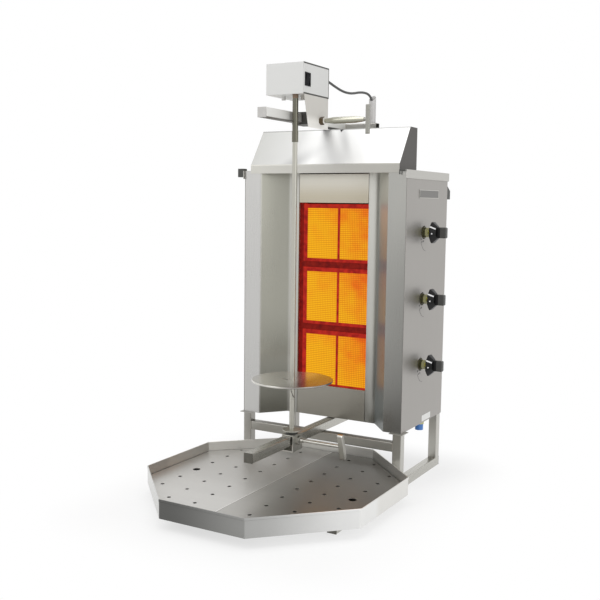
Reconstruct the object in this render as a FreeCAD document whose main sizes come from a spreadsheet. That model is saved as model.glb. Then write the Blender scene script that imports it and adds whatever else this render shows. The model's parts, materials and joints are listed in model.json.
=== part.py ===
import FreeCAD, Part
import Sketcher

import math
import os
import re

# Doner kebab grill: a three-burner gas grill on a tube frame, with a motor-driven spit
# that slides towards the burners, and an octagonal drip tray on the floor rails.
# Millimetres, +Z up, the burners face -Y, the knobs are on +X.

# Driving dimensions. The plane Y = 0 is the front of the casing and X = 0 is its middle.
SIZES = {
    # casing
    "body_width": 500.0,
    "body_depth": 295.0,
    "leg_height": 130.0,
    "casing_height": 696.5,
    "sheet": 1.5,
    "gap": 0.5,
    "wing_width": 53.0,
    "wing_return": 20.0,
    "reflector_width": 56.0,
    "reflector_depth": 67.6,
    "strip_width": 31.6,
    "strip_return": 8.0,
    "panel_gap": 0.8,
    "upper_panel_gap": 6.5,
    "lower_panel_height": 89.0,
    "window_height": 521.0,
    "pan_inset": 5.0,
    "lid_edge": 23.0,
    "lid_front": 7.0,
    "lid_rear": 7.0,
    "vent_length": 60.0,
    "vent_height": 6.0,
    "vent_pitch": 20.0,
    "vent_spacing": 110.0,
    # heat hood
    "hood_width": 458.0,
    "hood_lip_drop": 8.0,
    "hood_lip_rise": 15.0,
    "hood_slant_run": 66.0,
    "hood_slant_rise": 99.0,
    "hood_roof": 46.0,
    "notch_place": 26.0,
    "notch_width": 14.0,
    "notch_depth": 10.0,
    # tube frame
    "tube": 25.0,
    "tube_wall": 1.5,
    "plug_cap": 2.0,
    "plug_depth": 12.0,
    "rail_front": 368.0,
    "rear_leg_inset": 7.0,
    "arm_drop": 2.0,
    "lower_arm_front": 360.0,
    "lower_arm_rear": 200.0,
    "hanger_width": 40.0,
    "hanger_length": 50.0,
    "leg_plate": 40.0,
    "leg_plate_sheet": 2.0,
    "upper_arm_side": 24.5,
    "upper_arm_front": 270.0,
    "arm_above_hood": 4.0,
    "cross_bar_front": 160.0,
    "cross_bar_drop": 6.0,
    "cross_bar_end": 82.0,
    "cable_post_side": 65.0,
    "cable_post": 20.0,
    "cable_post_height": 80.0,
    "cable_post_cut": 22.0,
    # small fittings on the casing
    "block_reach": 18.5,
    "block_length": 20.0,
    "block_height": 24.0,
    "block_drop": 16.5,
    "spacer_reach": 23.0,
    "spacer_width": 23.0,
    "spacer_height": 38.0,
    "spacer_slope": 14.0,
    "spacer_drop": 34.5,
    "name_plate_front": 83.0,
    "name_plate_length": 141.0,
    "name_plate_drop": 48.5,
    "name_plate_height": 23.0,
    "name_plate_sheet": 1.0,
    # burners
    "burner_front": 78.0,
    "burner_offset": 13.25,
    "burner_drop": 4.0,
    "burner_pitch": 180.0,
    "tile_width": 100.0,
    "tile_height": 145.0,
    "tile_thickness": 13.0,
    "tile_divider": 3.5,
    "tile_overlap": 1.5,
    "frame_sheet": 2.5,
    "frame_side": 10.5,
    "frame_top": 10.5,
    "frame_bottom": 7.5,
    "housing_depth": 55.0,
    "venturi_diameter": 20.0,
    "venturi_length": 60.0,
    "burner_rail_flange": 12.0,
    # gas fittings
    "tap_depth": 124.0,
    "tap_rise": 6.2,
    "tap_pitch": 181.5,
    "tap_hole": 36.0,
    "tap_diameter": 22.0,
    "tap_length": 57.0,
    "tap_reach": 15.0,
    "tap_bore_depth": 23.0,
    "stub_diameter": 14.0,
    "feed_diameter": 8.0,
    "manifold_diameter": 21.0,
    "manifold_depth": 164.0,
    "manifold_inset": 15.0,
    "manifold_rise": 40.0,
    "inlet_nut": 24.0,
    "inlet_nut_height": 7.0,
    "inlet_thread": 16.0,
    "inlet_cap_diameter": 23.0,
    "inlet_cap_height": 17.0,
    "inlet_cap_floor": 3.0,
    # knobs
    "collar_diameter": 12.0,
    "collar_length": 29.0,
    "stem_diameter": 8.0,
    "stem_length": 34.0,
    "knob_gap": 10.0,
    "knob_recess": 4.7,
    "knob_recess_width": 14.0,
    "knob_diameter": 61.0,
    "knob_skirt": 15.5,
    "knob_bevel": 12.5,
    "grip_length": 24.5,
    "grip_height": 29.0,
    "grip_width": 17.0,
    # spit and its bearing
    "spit_front": 148.0,
    "rod_diameter": 13.0,
    "tang_width": 8.0,
    "tang_length": 22.0,
    "turning_gap": 0.3,
    "pin_diameter": 10.0,
    "pin_length": 6.5,
    "pivot_gap": 0.05,
    "foot_diameter": 49.0,
    "foot_height": 3.2,
    "disc_diameter": 215.0,
    "disc_rise": 135.0,
    "disc_rim": 5.0,
    "disc_sheet": 2.0,
    "hub_diameter": 24.0,
    "hub_height": 22.0,
    "cup_diameter": 32.0,
    "cup_height": 7.0,
    # lower carriage and its clamping handle
    "clamp_sheet": 3.0,
    "clamp_side_gap": 3.0,
    "clamp_drop": 13.0,
    "clamp_length": 50.0,
    "lock_nut": 22.0,
    "lock_nut_length": 8.0,
    "lock_rod": 8.0,
    "lock_tip_gap": 0.3,
    "lock_collar": 12.0,
    "lock_collar_length": 9.0,
    "lower_handle_reach": 142.0,
    "handle_bar": 14.0,
    "handle_bar_length": 70.0,
    "handle_bar_chamfer": 4.0,
    "handle_tilt": 15.0,
    # motor carriage and its clamping handle
    "box_right": 30.0,
    "box_width": 111.0,
    "box_front": 160.0,
    "box_depth": 135.0,
    "box_above_arm": 42.0,
    "box_height": 79.0,
    "seam": 1.0,
    "carriage_sheet": 3.0,
    "carriage_drop": 14.0,
    "carriage_top_front": 153.0,
    "carriage_foot_front": 129.5,
    "carriage_back": 27.0,
    "flange_front": 130.0,
    "flange_width": 22.0,
    "flange_lip": 12.0,
    "slider_front": 95.0,
    "slider_length": 60.0,
    "slider_wall": 3.0,
    "upper_lock_back": 70.0,
    "upper_lock_rise": 6.0,
    "upper_nut": 18.0,
    "upper_nut_length": 14.0,
    "tube_handle_start": 2.0,
    "tube_handle": 17.6,
    "tube_handle_end": 11.0,
    "tube_handle_taper": 26.0,
    "tube_handle_length": 112.0,
    "tube_handle_neck": 4.7,
    "upper_bar": 9.6,
    "upper_bar_length": 74.0,
    "upper_bar_chamfer": 2.4,
    # motor and drive
    "motor_width": 70.0,
    "motor_depth": 78.0,
    "motor_height": 56.0,
    "motor_left": 58.0,
    "motor_front_gap": 1.5,
    "motor_pad_width": 38.0,
    "motor_pad_depth": 40.0,
    "shaft_diameter": 10.0,
    "shaft_length": 18.0,
    "coupling_diameter": 15.2,
    "coupling_drop": 10.0,
    "coupling_rise": 4.0,
    "sleeve_diameter": 15.0,
    "sleeve_length": 83.0,
    "socket_diameter": 16.5,
    "socket_length": 26.7,
    "shaft_hole": 20.0,
    "box_foot": 11.0,
    "box_foot_height": 9.0,
    "box_foot_side": 55.0,
    "box_foot_front": 115.0,
    "gland_diameter": 11.0,
    "gland_length": 6.0,
    # switch
    "switch_front": 154.0,
    "switch_width": 28.0,
    "switch_height": 34.0,
    "switch_rise": 20.0,
    "switch_rim": 4.0,
    "switch_lip": 2.0,
    "switch_proud": 2.0,
    "switch_depth": 16.0,
    "switch_floor": 7.0,
    "rocker_depth": 4.0,
    "rocker_thickness": 8.0,
    "rocker_angle": 8.0,
    "rocker_gap": 1.0,
    "rocker_pin": 3.0,
    # tray and drip plates
    "tray_width": 623.0,
    "tray_depth": 649.0,
    "tray_front_corner": 192.0,
    "tray_back_corner": 184.0,
    "tray_middle": 231.5,
    "tray_height": 47.5,
    "tray_sheet": 1.5,
    "tray_rim": 6.0,
    "tray_hem": 1.0,
    "drip_plate_height": 19.5,
    "drip_plate_sheet": 1.2,
    "drip_plate_gap": 2.0,
    "drip_plate_seam": 1.0,
    "hole_diameter": 10.0,
    "hole_column": 78.0,
    "hole_row": 72.8,
    "hole_shift": 14.5,
    "finger_hole": 20.0,
    # motor cable
    "cable_diameter": 6.0,
}

# Places that follow from the driving dimensions, each written as a formula.
PLACES = {
    "half": "body_width / 2",
    "casing_bottom": "tube + leg_height",
    "casing_top": "casing_bottom + casing_height",
    "lid_top": "casing_top + sheet",
    "lid_half": "max(half + sheet; hood_width / 2)",
    "pan_top": "casing_bottom + sheet",
    "window_bottom": "casing_bottom + lower_panel_height",
    "window_top": "window_bottom + window_height",
    "window_half": "half - wing_width - reflector_width - strip_width",
    "strip_outer": "half - wing_width - reflector_width",
    "wing_inner": "half - wing_width",
    "return_back": "reflector_depth + strip_return",
    "panel_half": "window_half - panel_gap",
    "slant": "sqrt(reflector_width * reflector_width + reflector_depth * reflector_depth)",
    "fold_shift": "sheet * (slant - reflector_width) / reflector_depth",
    "hood_slope": "sqrt(hood_slant_run * hood_slant_run + hood_slant_rise * hood_slant_rise)",
    "knee_shift": "sheet * (hood_slope - hood_slant_rise) / hood_slant_run",
    "brow_shift": "sheet * (hood_slope - hood_slant_run) / hood_slant_rise",
    "hood_front": "-gap - sheet",
    "hood_lip_bottom": "lid_top - hood_lip_drop",
    "hood_knee": "lid_top + hood_lip_rise",
    "hood_top": "hood_knee + hood_slant_rise",
    "hood_brow": "hood_front + hood_slant_run",
    "hood_back": "hood_brow + hood_roof",
    "arm_top": "casing_bottom - arm_drop",
    "arm_bottom": "arm_top - tube",
    "lock_height": "arm_bottom + tube / 2",
    "rear_leg_front": "body_depth - rear_leg_inset - tube",
    "rail_back": "body_depth - rear_leg_inset",
    "upper_arm_bottom": "hood_top + arm_above_hood",
    "upper_arm_top": "upper_arm_bottom + tube",
    "upper_arm_left": "-upper_arm_side - tube / 2",
    "upper_arm_right": "-upper_arm_side + tube / 2",
    "cross_bar_bottom": "upper_arm_bottom - cross_bar_drop",
    "cross_bar_top": "cross_bar_bottom + tube",
    "cross_bar_back": "cross_bar_front + tube",
    "cable_post_top": "cross_bar_top + cable_post_height",
    "middle_burner": "(window_bottom + window_top) / 2 - burner_drop",
    "frame_width": "2 * tile_width + tile_divider + 2 * frame_side",
    "frame_height": "tile_height + frame_top + frame_bottom",
    "frame_left": "burner_offset - frame_width / 2",
    "frame_right": "burner_offset + frame_width / 2",
    "tile_front": "burner_front + frame_sheet",
    "housing_back": "tile_front + housing_depth",
    "pair_width": "2 * tile_width + tile_divider",
    "pair_left": "burner_offset - pair_width / 2",
    "housing_left": "pair_left - sheet",
    "housing_right": "pair_left + pair_width + sheet",
    "venturi_end": "housing_right + venturi_length",
    "manifold_side": "half - manifold_inset",
    "tap_end": "half + tap_reach",
    "tap_start": "tap_end - tap_length",
    "knob_back": "tap_end + knob_gap",
    "recess_floor": "knob_back + knob_recess",
    "knob_front": "knob_back + knob_skirt",
    "grip_end": "knob_front + grip_length",
    "clamp_left": "-tube / 2 - gap",
    "clamp_right": "tube / 2 + clamp_side_gap",
    "clamp_outer": "clamp_right + clamp_sheet",
    "clamp_roof": "arm_top + gap",
    "clamp_top": "clamp_roof + clamp_sheet",
    "clamp_floor": "arm_bottom - clamp_drop",
    "clamp_front": "-spit_front - clamp_length / 2",
    "clamp_back": "-spit_front + clamp_length / 2",
    "lower_nut_end": "clamp_outer + lock_nut_length",
    "cup_top": "clamp_top + cup_height",
    "foot_bottom": "cup_top + turning_gap",
    "rod_bottom": "foot_bottom + foot_height",
    "disc_top": "rod_bottom + disc_rise",
    "box_bottom": "upper_arm_top + box_above_arm",
    "box_top": "box_bottom + box_height",
    "box_left": "box_right - box_width",
    "box_back": "box_depth - box_front",
    "coupling_bottom": "box_bottom - coupling_drop",
    "coupling_top": "box_bottom + coupling_rise",
    "sleeve_bottom": "coupling_bottom - sleeve_length",
    "socket_bottom": "sleeve_bottom - socket_length",
    "rod_top": "socket_bottom - turning_gap",
    "motor_bottom": "coupling_top + gap",
    "motor_front": "motor_front_gap + sheet - box_front",
    "carriage_left": "box_right - carriage_sheet",
    "carriage_foot": "upper_arm_bottom - carriage_drop",
    "upper_lock_height": "upper_arm_bottom + upper_lock_rise",
    "upper_nut_end": "box_right + upper_nut_length",
    "upper_bar_left": "upper_nut_end + tube_handle_start + tube_handle_length + tube_handle_neck",
    "slider_bore_left": "upper_arm_left - gap",
    "slider_bore_right": "upper_arm_right + gap",
    "switch_bottom": "box_bottom + switch_rise",
    "rocker_side": "box_right + switch_proud - rocker_depth",
    "tray_reach": "tray_width / 2 + tray_hem",
    "tray_bottom": "tube + gap",
    "tray_top": "tray_bottom + tray_height",
    "wall_shift": "2 - sqrt(2)",
    "drip_plate_bottom": "tray_bottom + tray_sheet + gap",
    "drip_plate_top": "drip_plate_bottom + drip_plate_height",
    "drip_plate_inset": "tray_sheet + drip_plate_gap",
    "spacer_back": "body_depth + spacer_reach",
    "shift_x": "(tray_reach - grip_end) / 2",
    "shift_y": "(tray_middle + tray_depth / 2 + tray_hem - spacer_back) / 2",
}

BURNERS = ("upper", "middle", "lower")
SIDES = {"left": -1, "right": 1}

# The motor cable's points, chosen by hand, from the motor box back to the cable post.
CABLE_POINTS = (
    (12.0, -19.0, 1089.0),
    (12.0, 1.0, 1089.0),
    (20.0, 20.0, 1079.0),
    (33.5, 48.0, 1065.5),
    (43.0, 83.0, 1063.0),
    (52.0, 120.0, 1071.5),
    (62.0, 153.0, 1070.5),
    (65.5, 172.5, 1051.0),
    (65.5, 173.5, 1026.0),
)

doc = FreeCAD.newDocument("doner_kebab_grill")
sheet = doc.addObject("Spreadsheet::Sheet", "sizes")
for row, (alias, size) in enumerate(SIZES.items(), start=1):
    sheet.set(f"A{row}", alias)
    sheet.set(f"B{row}", str(size))
    sheet.setAlias(f"B{row}", alias)
doc.recompute()

nodes = []


def formula(text):
    """Spell a formula out: a named place becomes its own formula, a size its sheet cell."""

    def spell(word):
        name = word.group()
        if name in PLACES:
            return "(" + formula(PLACES[name]) + ")"
        return "sizes." + name if name in SIZES else name

    return re.sub(r"[a-z_]\w*", spell, str(text))


def value(text):
    """The number that a formula gives now."""
    found = sheet.evalExpression(formula(text))
    return float(getattr(found, "Value", found))


def bind(item, **properties):
    """Bind properties to formulas; two underscores stand for a dot."""
    for name, text in properties.items():
        item.setExpression(name.replace("__", "."), formula(text))


def put(item, place):
    """Bind where an object stands, as three formulas."""
    item.addProperty("App::PropertyStringList", "Place")
    item.Place = [str(text) for text in place]
    bind(item, Placement__Base__x=place[0], Placement__Base__y=place[1], Placement__Base__z=place[2])


def node(label, item):
    """Name a finished sub-part and stand it in the part's own frame."""
    item.Label = label
    place = item.Place if hasattr(item, "Place") else ["0", "0", "0"]
    bind(
        item,
        Placement__Base__x=f"shift_x + {place[0]}",
        Placement__Base__y=f"shift_y + {place[1]}",
        Placement__Base__z=place[2],
    )
    nodes.append(item)
    return item


def box(name, low, high):
    """A block between two corners, each given as three formulas."""
    item = doc.addObject("Part::Box", name)
    spans = [f"({b}) - ({a})" for a, b in zip(low, high)]
    bind(item, Length=spans[0], Width=spans[1], Height=spans[2])
    put(item, low)
    return item


TURNS = {
    "x": FreeCAD.Rotation(FreeCAD.Vector(0, 1, 0), 90),
    "y": FreeCAD.Rotation(FreeCAD.Vector(1, 0, 0), -90),
    "z": FreeCAD.Rotation(),
}


def rod(name, axis, start, diameter, length):
    """A round bar from a start point along +X, +Y or +Z."""
    item = doc.addObject("Part::Cylinder", name)
    bind(item, Radius=f"({diameter}) / 2", Height=length)
    item.Placement = FreeCAD.Placement(FreeCAD.Vector(), TURNS[axis])
    put(item, start)
    return item


def hexagon(name, axis, start, across_flats, length):
    """A hexagonal bar from a start point along +X, +Y or +Z."""
    item = doc.addObject("Part::Prism", name)
    item.Polygon = 6
    bind(item, Circumradius=f"({across_flats}) / sqrt(3)", Height=length)
    item.Placement = FreeCAD.Placement(FreeCAD.Vector(), TURNS[axis])
    put(item, start)
    return item


def fuse(name, *items):
    """Several shapes made one."""
    item = doc.addObject("Part::MultiFuse", name)
    item.Shapes = list(items)
    return item


def group(name, *items):
    """Identical pieces kept as separate solids of one node."""
    item = doc.addObject("Part::Compound", name)
    item.Links = list(items)
    return item


def cut(name, base, *tools):
    """A shape with others taken out of it."""
    item = doc.addObject("Part::Cut", name)
    item.Base = base
    item.Tool = tools[0] if len(tools) == 1 else fuse(name + "_tools", *tools)
    return item


def square_tube(name, axis, low, high):
    """A square tube along one axis between two corners, open at both ends."""
    inner_low = [text if letter == axis else f"{text} + tube_wall" for letter, text in zip("xyz", low)]
    inner_high = [text if letter == axis else f"{text} - tube_wall" for letter, text in zip("xyz", high)]
    return cut(name, box(name + "_outside", low, high), box(name + "_bore", inner_low, inner_high))


def plane(body, role):
    """One of a body's own origin planes."""
    return next(feature for feature in body.Origin.OriginFeatures if feature.Role == role)


def outline(body, name, role, lift, points):
    """A closed sketch of straight lines on a body's own plane, every corner bound to formulas."""
    sketch = body.newObject("Sketcher::SketchObject", name)
    sketch.AttachmentSupport = (plane(body, role), [""])
    sketch.MapMode = "FlatFace"
    bind(sketch, AttachmentOffset__Base__z=lift)
    spots = [FreeCAD.Vector(value(x), value(y), 0) for x, y in points]
    for index, spot in enumerate(spots):
        sketch.addGeometry(Part.LineSegment(spot, spots[(index + 1) % len(spots)]))
    for index in range(len(spots)):
        sketch.addConstraint(Sketcher.Constraint("Coincident", index, 2, (index + 1) % len(spots), 1))
    for index, (x, y) in enumerate(points):
        for kind, text, size in (("DistanceX", x, spots[index].x), ("DistanceY", y, spots[index].y)):
            number = sketch.addConstraint(Sketcher.Constraint(kind, -1, 1, index, 1, size))
            sketch.setExpression(f"Constraints[{number}]", formula(text))
    return sketch


def circles(body, name, role, lift, rings):
    """A sketch of circles on a body's own plane, each given as x, y and diameter formulas."""
    sketch = body.newObject("Sketcher::SketchObject", name)
    sketch.AttachmentSupport = (plane(body, role), [""])
    sketch.MapMode = "FlatFace"
    bind(sketch, AttachmentOffset__Base__z=lift)
    for index, (x, y, diameter) in enumerate(rings):
        middle = FreeCAD.Vector(value(x), value(y), 0)
        sketch.addGeometry(Part.Circle(middle, FreeCAD.Vector(0, 0, 1), value(diameter) / 2))
        for kind, text, size in (("DistanceX", x, middle.x), ("DistanceY", y, middle.y)):
            number = sketch.addConstraint(Sketcher.Constraint(kind, -1, 1, index, 3, size))
            sketch.setExpression(f"Constraints[{number}]", formula(text))
        number = sketch.addConstraint(Sketcher.Constraint("Diameter", index, value(diameter)))
        sketch.setExpression(f"Constraints[{number}]", formula(diameter))
    return sketch


def pad(body, name, sketch, length):
    """Raise a sketch along its plane's normal."""
    item = body.newObject("PartDesign::Pad", name)
    item.Profile = sketch
    bind(item, Length=length)
    return item


def pocket(body, name, sketch, length, upwards=False):
    """Sink a sketch into the body, down from its plane or up from it."""
    before = solid_volume(body)
    item = body.newObject("PartDesign::Pocket", name)
    item.Profile = sketch
    item.Reversed = upwards
    bind(item, Length=length)
    if not solid_volume(body) < before:
        raise RuntimeError(f"{name} cuts nothing")
    return item


def solid_volume(body):
    """The body's volume now."""
    doc.recompute()
    return body.Shape.Volume


def new_body(name):
    return doc.addObject("PartDesign::Body", name)


def tube_plug(name, left, bottom, face, inward):
    """A push-in end plug for a square tube along Y, its cap's face at `face`."""
    ends = sorted(
        [
            (0, face),
            (1, f"{face} + ({inward}) * plug_cap"),
            (2, f"{face} + ({inward}) * (plug_cap + plug_depth)"),
        ],
        key=lambda end: value(end[1]),
    )
    low, middle, high = [end[1] for end in ends]
    cap, stub = ((low, middle), (middle, high)) if inward > 0 else ((middle, high), (low, middle))
    return fuse(
        name,
        box(name + "_cap", (left, cap[0], bottom), (f"{left} + tube", cap[1], f"{bottom} + tube")),
        box(
            name + "_stub",
            (f"{left} + tube_wall", stub[0], f"{bottom} + tube_wall"),
            (f"{left} + tube - tube_wall", stub[1], f"{bottom} + tube - tube_wall"),
        ),
    )


def floor_frame():
    """Two floor rails, four legs, the tube between the front legs, and the plugs in the open ends.

    The front legs have a top plate that stands out round them under the casing.
    """
    legs = []
    plugs = []
    for side, left in (("left", "-half"), ("right", "half - tube")):
        right = f"{left} + tube"
        rail = square_tube(
            side + "_rail", "y", (left, "plug_cap - rail_front", "0"), (right, "rail_back - plug_cap", "tube")
        )
        node(side + "_floor_rail", rail)
        rear_leg = square_tube(
            side + "_rear_leg", "z", (left, "rear_leg_front", "tube"), (right, "rail_back", "casing_bottom")
        )
        plate_bottom = "casing_bottom - leg_plate_sheet"
        front_leg = square_tube(side + "_front_leg", "z", (left, "0", "tube"), (right, "tube", plate_bottom))
        overhang = "(leg_plate - tube) / 2"
        plate = box(
            side + "_leg_plate",
            (f"{left} - {overhang}", f"-{overhang}", plate_bottom),
            (f"{right} + {overhang}", f"tube + {overhang}", "casing_bottom"),
        )
        legs.append(rear_leg)
        legs.append(fuse(side + "_front_leg_welded", front_leg, plate))
        plugs.append(tube_plug(side + "_front_plug", left, "0", "-rail_front", 1))
        plugs.append(tube_plug(side + "_rear_plug", left, "0", "rail_back", -1))
    node("legs", group("leg_set", *legs))
    cross = square_tube(
        "cross", "x", ("tube - half", "0", "arm_bottom - tube"), ("half - tube", "tube", "arm_bottom")
    )
    node("front_cross_tube", cross)
    plugs.append(tube_plug("lower_arm_plug", "-tube / 2", "arm_bottom", "-lower_arm_front", 1))
    plugs.append(tube_plug("upper_arm_plug", "upper_arm_left", "upper_arm_bottom", "-upper_arm_front", 1))
    node("tube_end_plugs", group("plugs", *plugs))


def arms():
    """The lower arm under the casing, and the upper arm on its cross bar behind the hood."""
    arm = square_tube(
        "lower_arm_tube",
        "y",
        ("-tube / 2", "plug_cap - lower_arm_front", "arm_bottom"),
        ("tube / 2", "lower_arm_rear", "arm_top"),
    )
    hanger = box(
        "lower_arm_hanger",
        ("-hanger_width / 2", "lower_arm_rear - hanger_length", "arm_top"),
        ("hanger_width / 2", "lower_arm_rear", "casing_bottom"),
    )
    node("lower_arm", fuse("lower_arm_welded", arm, hanger))
    upper = square_tube(
        "upper_arm_tube",
        "y",
        ("upper_arm_left", "plug_cap - upper_arm_front", "upper_arm_bottom"),
        ("upper_arm_right", "cross_bar_front", "upper_arm_top"),
    )
    node("upper_arm", upper)
    bar = square_tube(
        "cross_bar",
        "x",
        ("upper_arm_left", "cross_bar_front", "cross_bar_bottom"),
        ("cross_bar_end", "cross_bar_back", "cross_bar_top"),
    )
    gallows_legs = (("left_upright", "upper_arm_left"), ("right_upright", "cable_post_side - tube / 2"))
    uprights = [
        square_tube(
            name,
            "z",
            (left, "cross_bar_front", "lid_top"),
            (f"{left} + tube", "cross_bar_back", "cross_bar_bottom"),
        )
        for name, left in gallows_legs
    ]
    node("rear_gallows", fuse("gallows", bar, *uprights))


def cable_post():
    """The short round post on the cross bar that takes the motor cable, its top cut on a slant."""
    start = ("cable_post_side", "cross_bar_front + tube / 2", "cross_bar_top")
    outside = rod("post_outside", "z", start, "cable_post", "cable_post_height")
    bore = rod("post_bore", "z", start, "cable_post - 2 * tube_wall", "cable_post_height + gap")
    body = new_body("post_top_cut")
    points = (
        ("cross_bar_front - gap", "cable_post_top - cable_post_cut"),
        ("cross_bar_back + gap", "cable_post_top"),
        ("cross_bar_front - gap", "cable_post_top + gap"),
    )
    pad(
        body,
        "post_cut_pad",
        outline(body, "post_cut_side", "YZ_Plane", "cable_post_side - tube", points),
        "2 * tube",
    )
    node("cable_post", cut("post_cut", outside, bore, body))


def side_panels():
    """The casing's side walls; the right one has a round hole at each tap."""
    node(
        "left_side_panel",
        box("left_wall", ("-half", "0", "casing_bottom"), ("sheet - half", "body_depth", "casing_top")),
    )
    wall = box("right_wall", ("half - sheet", "0", "casing_bottom"), ("half", "body_depth", "casing_top"))
    holes = [
        rod(
            f"tap_hole_{index}",
            "x",
            ("half - 2 * sheet", "tap_depth", tap_height(index)),
            "tap_hole",
            "3 * sheet",
        )
        for index in range(3)
    ]
    node("right_side_panel", cut("right_wall_cut", wall, *holes))


def base_pan():
    """The casing's floor, cut back behind the folded front, with a hole for the gas manifold."""
    right = (
        ("half - 2 * sheet", "2 * sheet"),
        ("wing_inner + pan_inset", "2 * sheet"),
        ("strip_outer + pan_inset", "return_back + 2 * sheet + gap"),
    )
    left = [(f"-({x})", y) for x, y in reversed(right)]
    rear = [("-(half - 2 * sheet)", "body_depth - sheet"), ("half - 2 * sheet", "body_depth - sheet")]
    body = new_body("pan")
    pad(
        body,
        "pan_pad",
        outline(body, "pan_edge", "XY_Plane", "casing_bottom", [*right, *left, *rear]),
        "sheet",
    )
    hole = circles(
        body, "pan_hole", "XY_Plane", "pan_top", [("manifold_side", "manifold_depth", "manifold_diameter")]
    )
    pocket(body, "pan_hole_cut", hole, "2 * sheet")
    node("base_pan", body)


def back_panel():
    """The casing's back wall, with a block of air slots behind each burner."""
    wall = box(
        "back_wall",
        ("sheet - half", "body_depth - sheet", "casing_bottom"),
        ("half - sheet", "body_depth", "casing_top"),
    )
    slots = []
    for index in range(3):
        for row in (-1, 0, 1):
            for column in (-1, 0, 1):
                left = f"burner_offset + ({column}) * vent_spacing - vent_length / 2"
                bottom = f"{burner_height(index)} + ({row}) * vent_pitch - vent_height / 2"
                low = (left, "body_depth - 2 * sheet", bottom)
                high = (f"{left} + vent_length", "body_depth + sheet", f"{bottom} + vent_height")
                slots.append(box(f"slot_{index}_{row + 1}_{column + 1}", low, high))
    node("back_panel", cut("back_wall_cut", wall, *slots))


def front_wings():
    """One folded sheet a side: the front face, the slanted reflector, the window strip and its return."""
    corners = (
        ("half - sheet", "0"),
        ("wing_inner", "0"),
        ("strip_outer", "reflector_depth"),
        ("window_half", "reflector_depth"),
        ("window_half", "return_back"),
        ("window_half + sheet", "return_back"),
        ("window_half + sheet", "reflector_depth + sheet"),
        ("strip_outer + fold_shift", "reflector_depth + sheet"),
        ("wing_inner + fold_shift", "sheet"),
        ("half - 2 * sheet", "sheet"),
        ("half - 2 * sheet", "wing_return"),
        ("half - sheet", "wing_return"),
    )
    for side, sign in SIDES.items():
        body = new_body(side + "_wing")
        points = [(f"({sign}) * ({x})", y) for x, y in corners]
        edge = outline(body, side + "_wing_edge", "XY_Plane", "casing_bottom", points)
        pad(body, side + "_wing_pad", edge, "casing_height")
        node(side + "_front_wing", body)


def front_panels():
    """The blank panels over and under the burners: folded like a hat, with a lip at the window."""
    right = (
        ("panel_half", "reflector_depth"),
        ("panel_half", "return_back"),
        ("window_half + sheet", "return_back"),
        ("window_half + sheet", "return_back + sheet"),
        ("panel_half - sheet", "return_back + sheet"),
        ("panel_half - sheet", "reflector_depth + sheet"),
    )
    hat = [*right, *[(f"-({x})", y) for x, y in reversed(right)]]
    lip = [
        ("panel_half - sheet", "reflector_depth + sheet"),
        ("panel_half - sheet", "return_back + sheet"),
        ("sheet - panel_half", "return_back + sheet"),
        ("sheet - panel_half", "reflector_depth + sheet"),
    ]
    panels = (
        ("lower", "casing_bottom", "window_bottom", "window_bottom - sheet"),
        ("upper", "window_top", "casing_top - upper_panel_gap", "window_top"),
    )
    for name, bottom, top, lip_bottom in panels:
        body = new_body(name + "_panel")
        pad(
            body,
            name + "_panel_pad",
            outline(body, name + "_hat", "XY_Plane", bottom, hat),
            f"{top} - {bottom}",
        )
        pad(body, name + "_lip_pad", outline(body, name + "_lip", "XY_Plane", lip_bottom, lip), "sheet")
        node(name + "_front_panel", body)


def lid():
    """The casing's cover, folded down over its sides and back; its front edge is open under the hood."""
    outside = box(
        "lid_outside",
        ("-lid_half", "-lid_front", "lid_top - lid_edge"),
        ("lid_half", "body_depth + lid_rear", "lid_top"),
    )
    inside = box(
        "lid_inside",
        ("sheet - lid_half", "-2 * lid_front", "lid_top - 2 * lid_edge"),
        ("lid_half - sheet", "body_depth + lid_rear - sheet", "casing_top"),
    )
    front = box(
        "lid_front_cut",
        ("sheet - lid_half", "-2 * lid_front", "lid_top - 2 * lid_edge"),
        ("lid_half - sheet", "0", "lid_top + sheet"),
    )
    node("lid", cut("lid_cut", outside, inside, front))


def heat_hood():
    """The bent hood over the burners: a lip before the wings, a slant, a flat roof, a back and two ends."""
    inner = [
        ("hood_back - sheet", "lid_top"),
        ("hood_back - sheet", "hood_top - sheet"),
        ("hood_brow + brow_shift", "hood_top - sheet"),
        ("hood_front + sheet", "hood_knee - knee_shift"),
    ]
    shell = [
        ("hood_front", "hood_lip_bottom"),
        ("hood_front", "hood_knee"),
        ("hood_brow", "hood_top"),
        ("hood_back", "hood_top"),
        ("hood_back", "lid_top"),
        *inner,
        ("hood_front + sheet", "hood_lip_bottom"),
    ]
    body = new_body("hood")
    pad(body, "hood_shell", outline(body, "hood_side", "YZ_Plane", "-hood_width / 2", shell), "hood_width")
    end = [*inner, ("hood_front + sheet", "lid_top")]
    for name, lift in (("left", "-hood_width / 2"), ("right", "hood_width / 2 - sheet")):
        pad(body, name + "_end_pad", outline(body, name + "_hood_end", "YZ_Plane", lift, end), "sheet")
    notch = (
        ("notch_place - notch_width / 2", "hood_top + sheet"),
        ("notch_place + notch_width / 2", "hood_top + sheet"),
        ("notch_place", "hood_top - notch_depth"),
    )
    mark = outline(body, "notch_side", "XZ_Plane", "notch_depth - hood_brow", notch)
    pocket(body, "notch_cut", mark, "2 * notch_depth")
    node("heat_hood", body)


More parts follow.
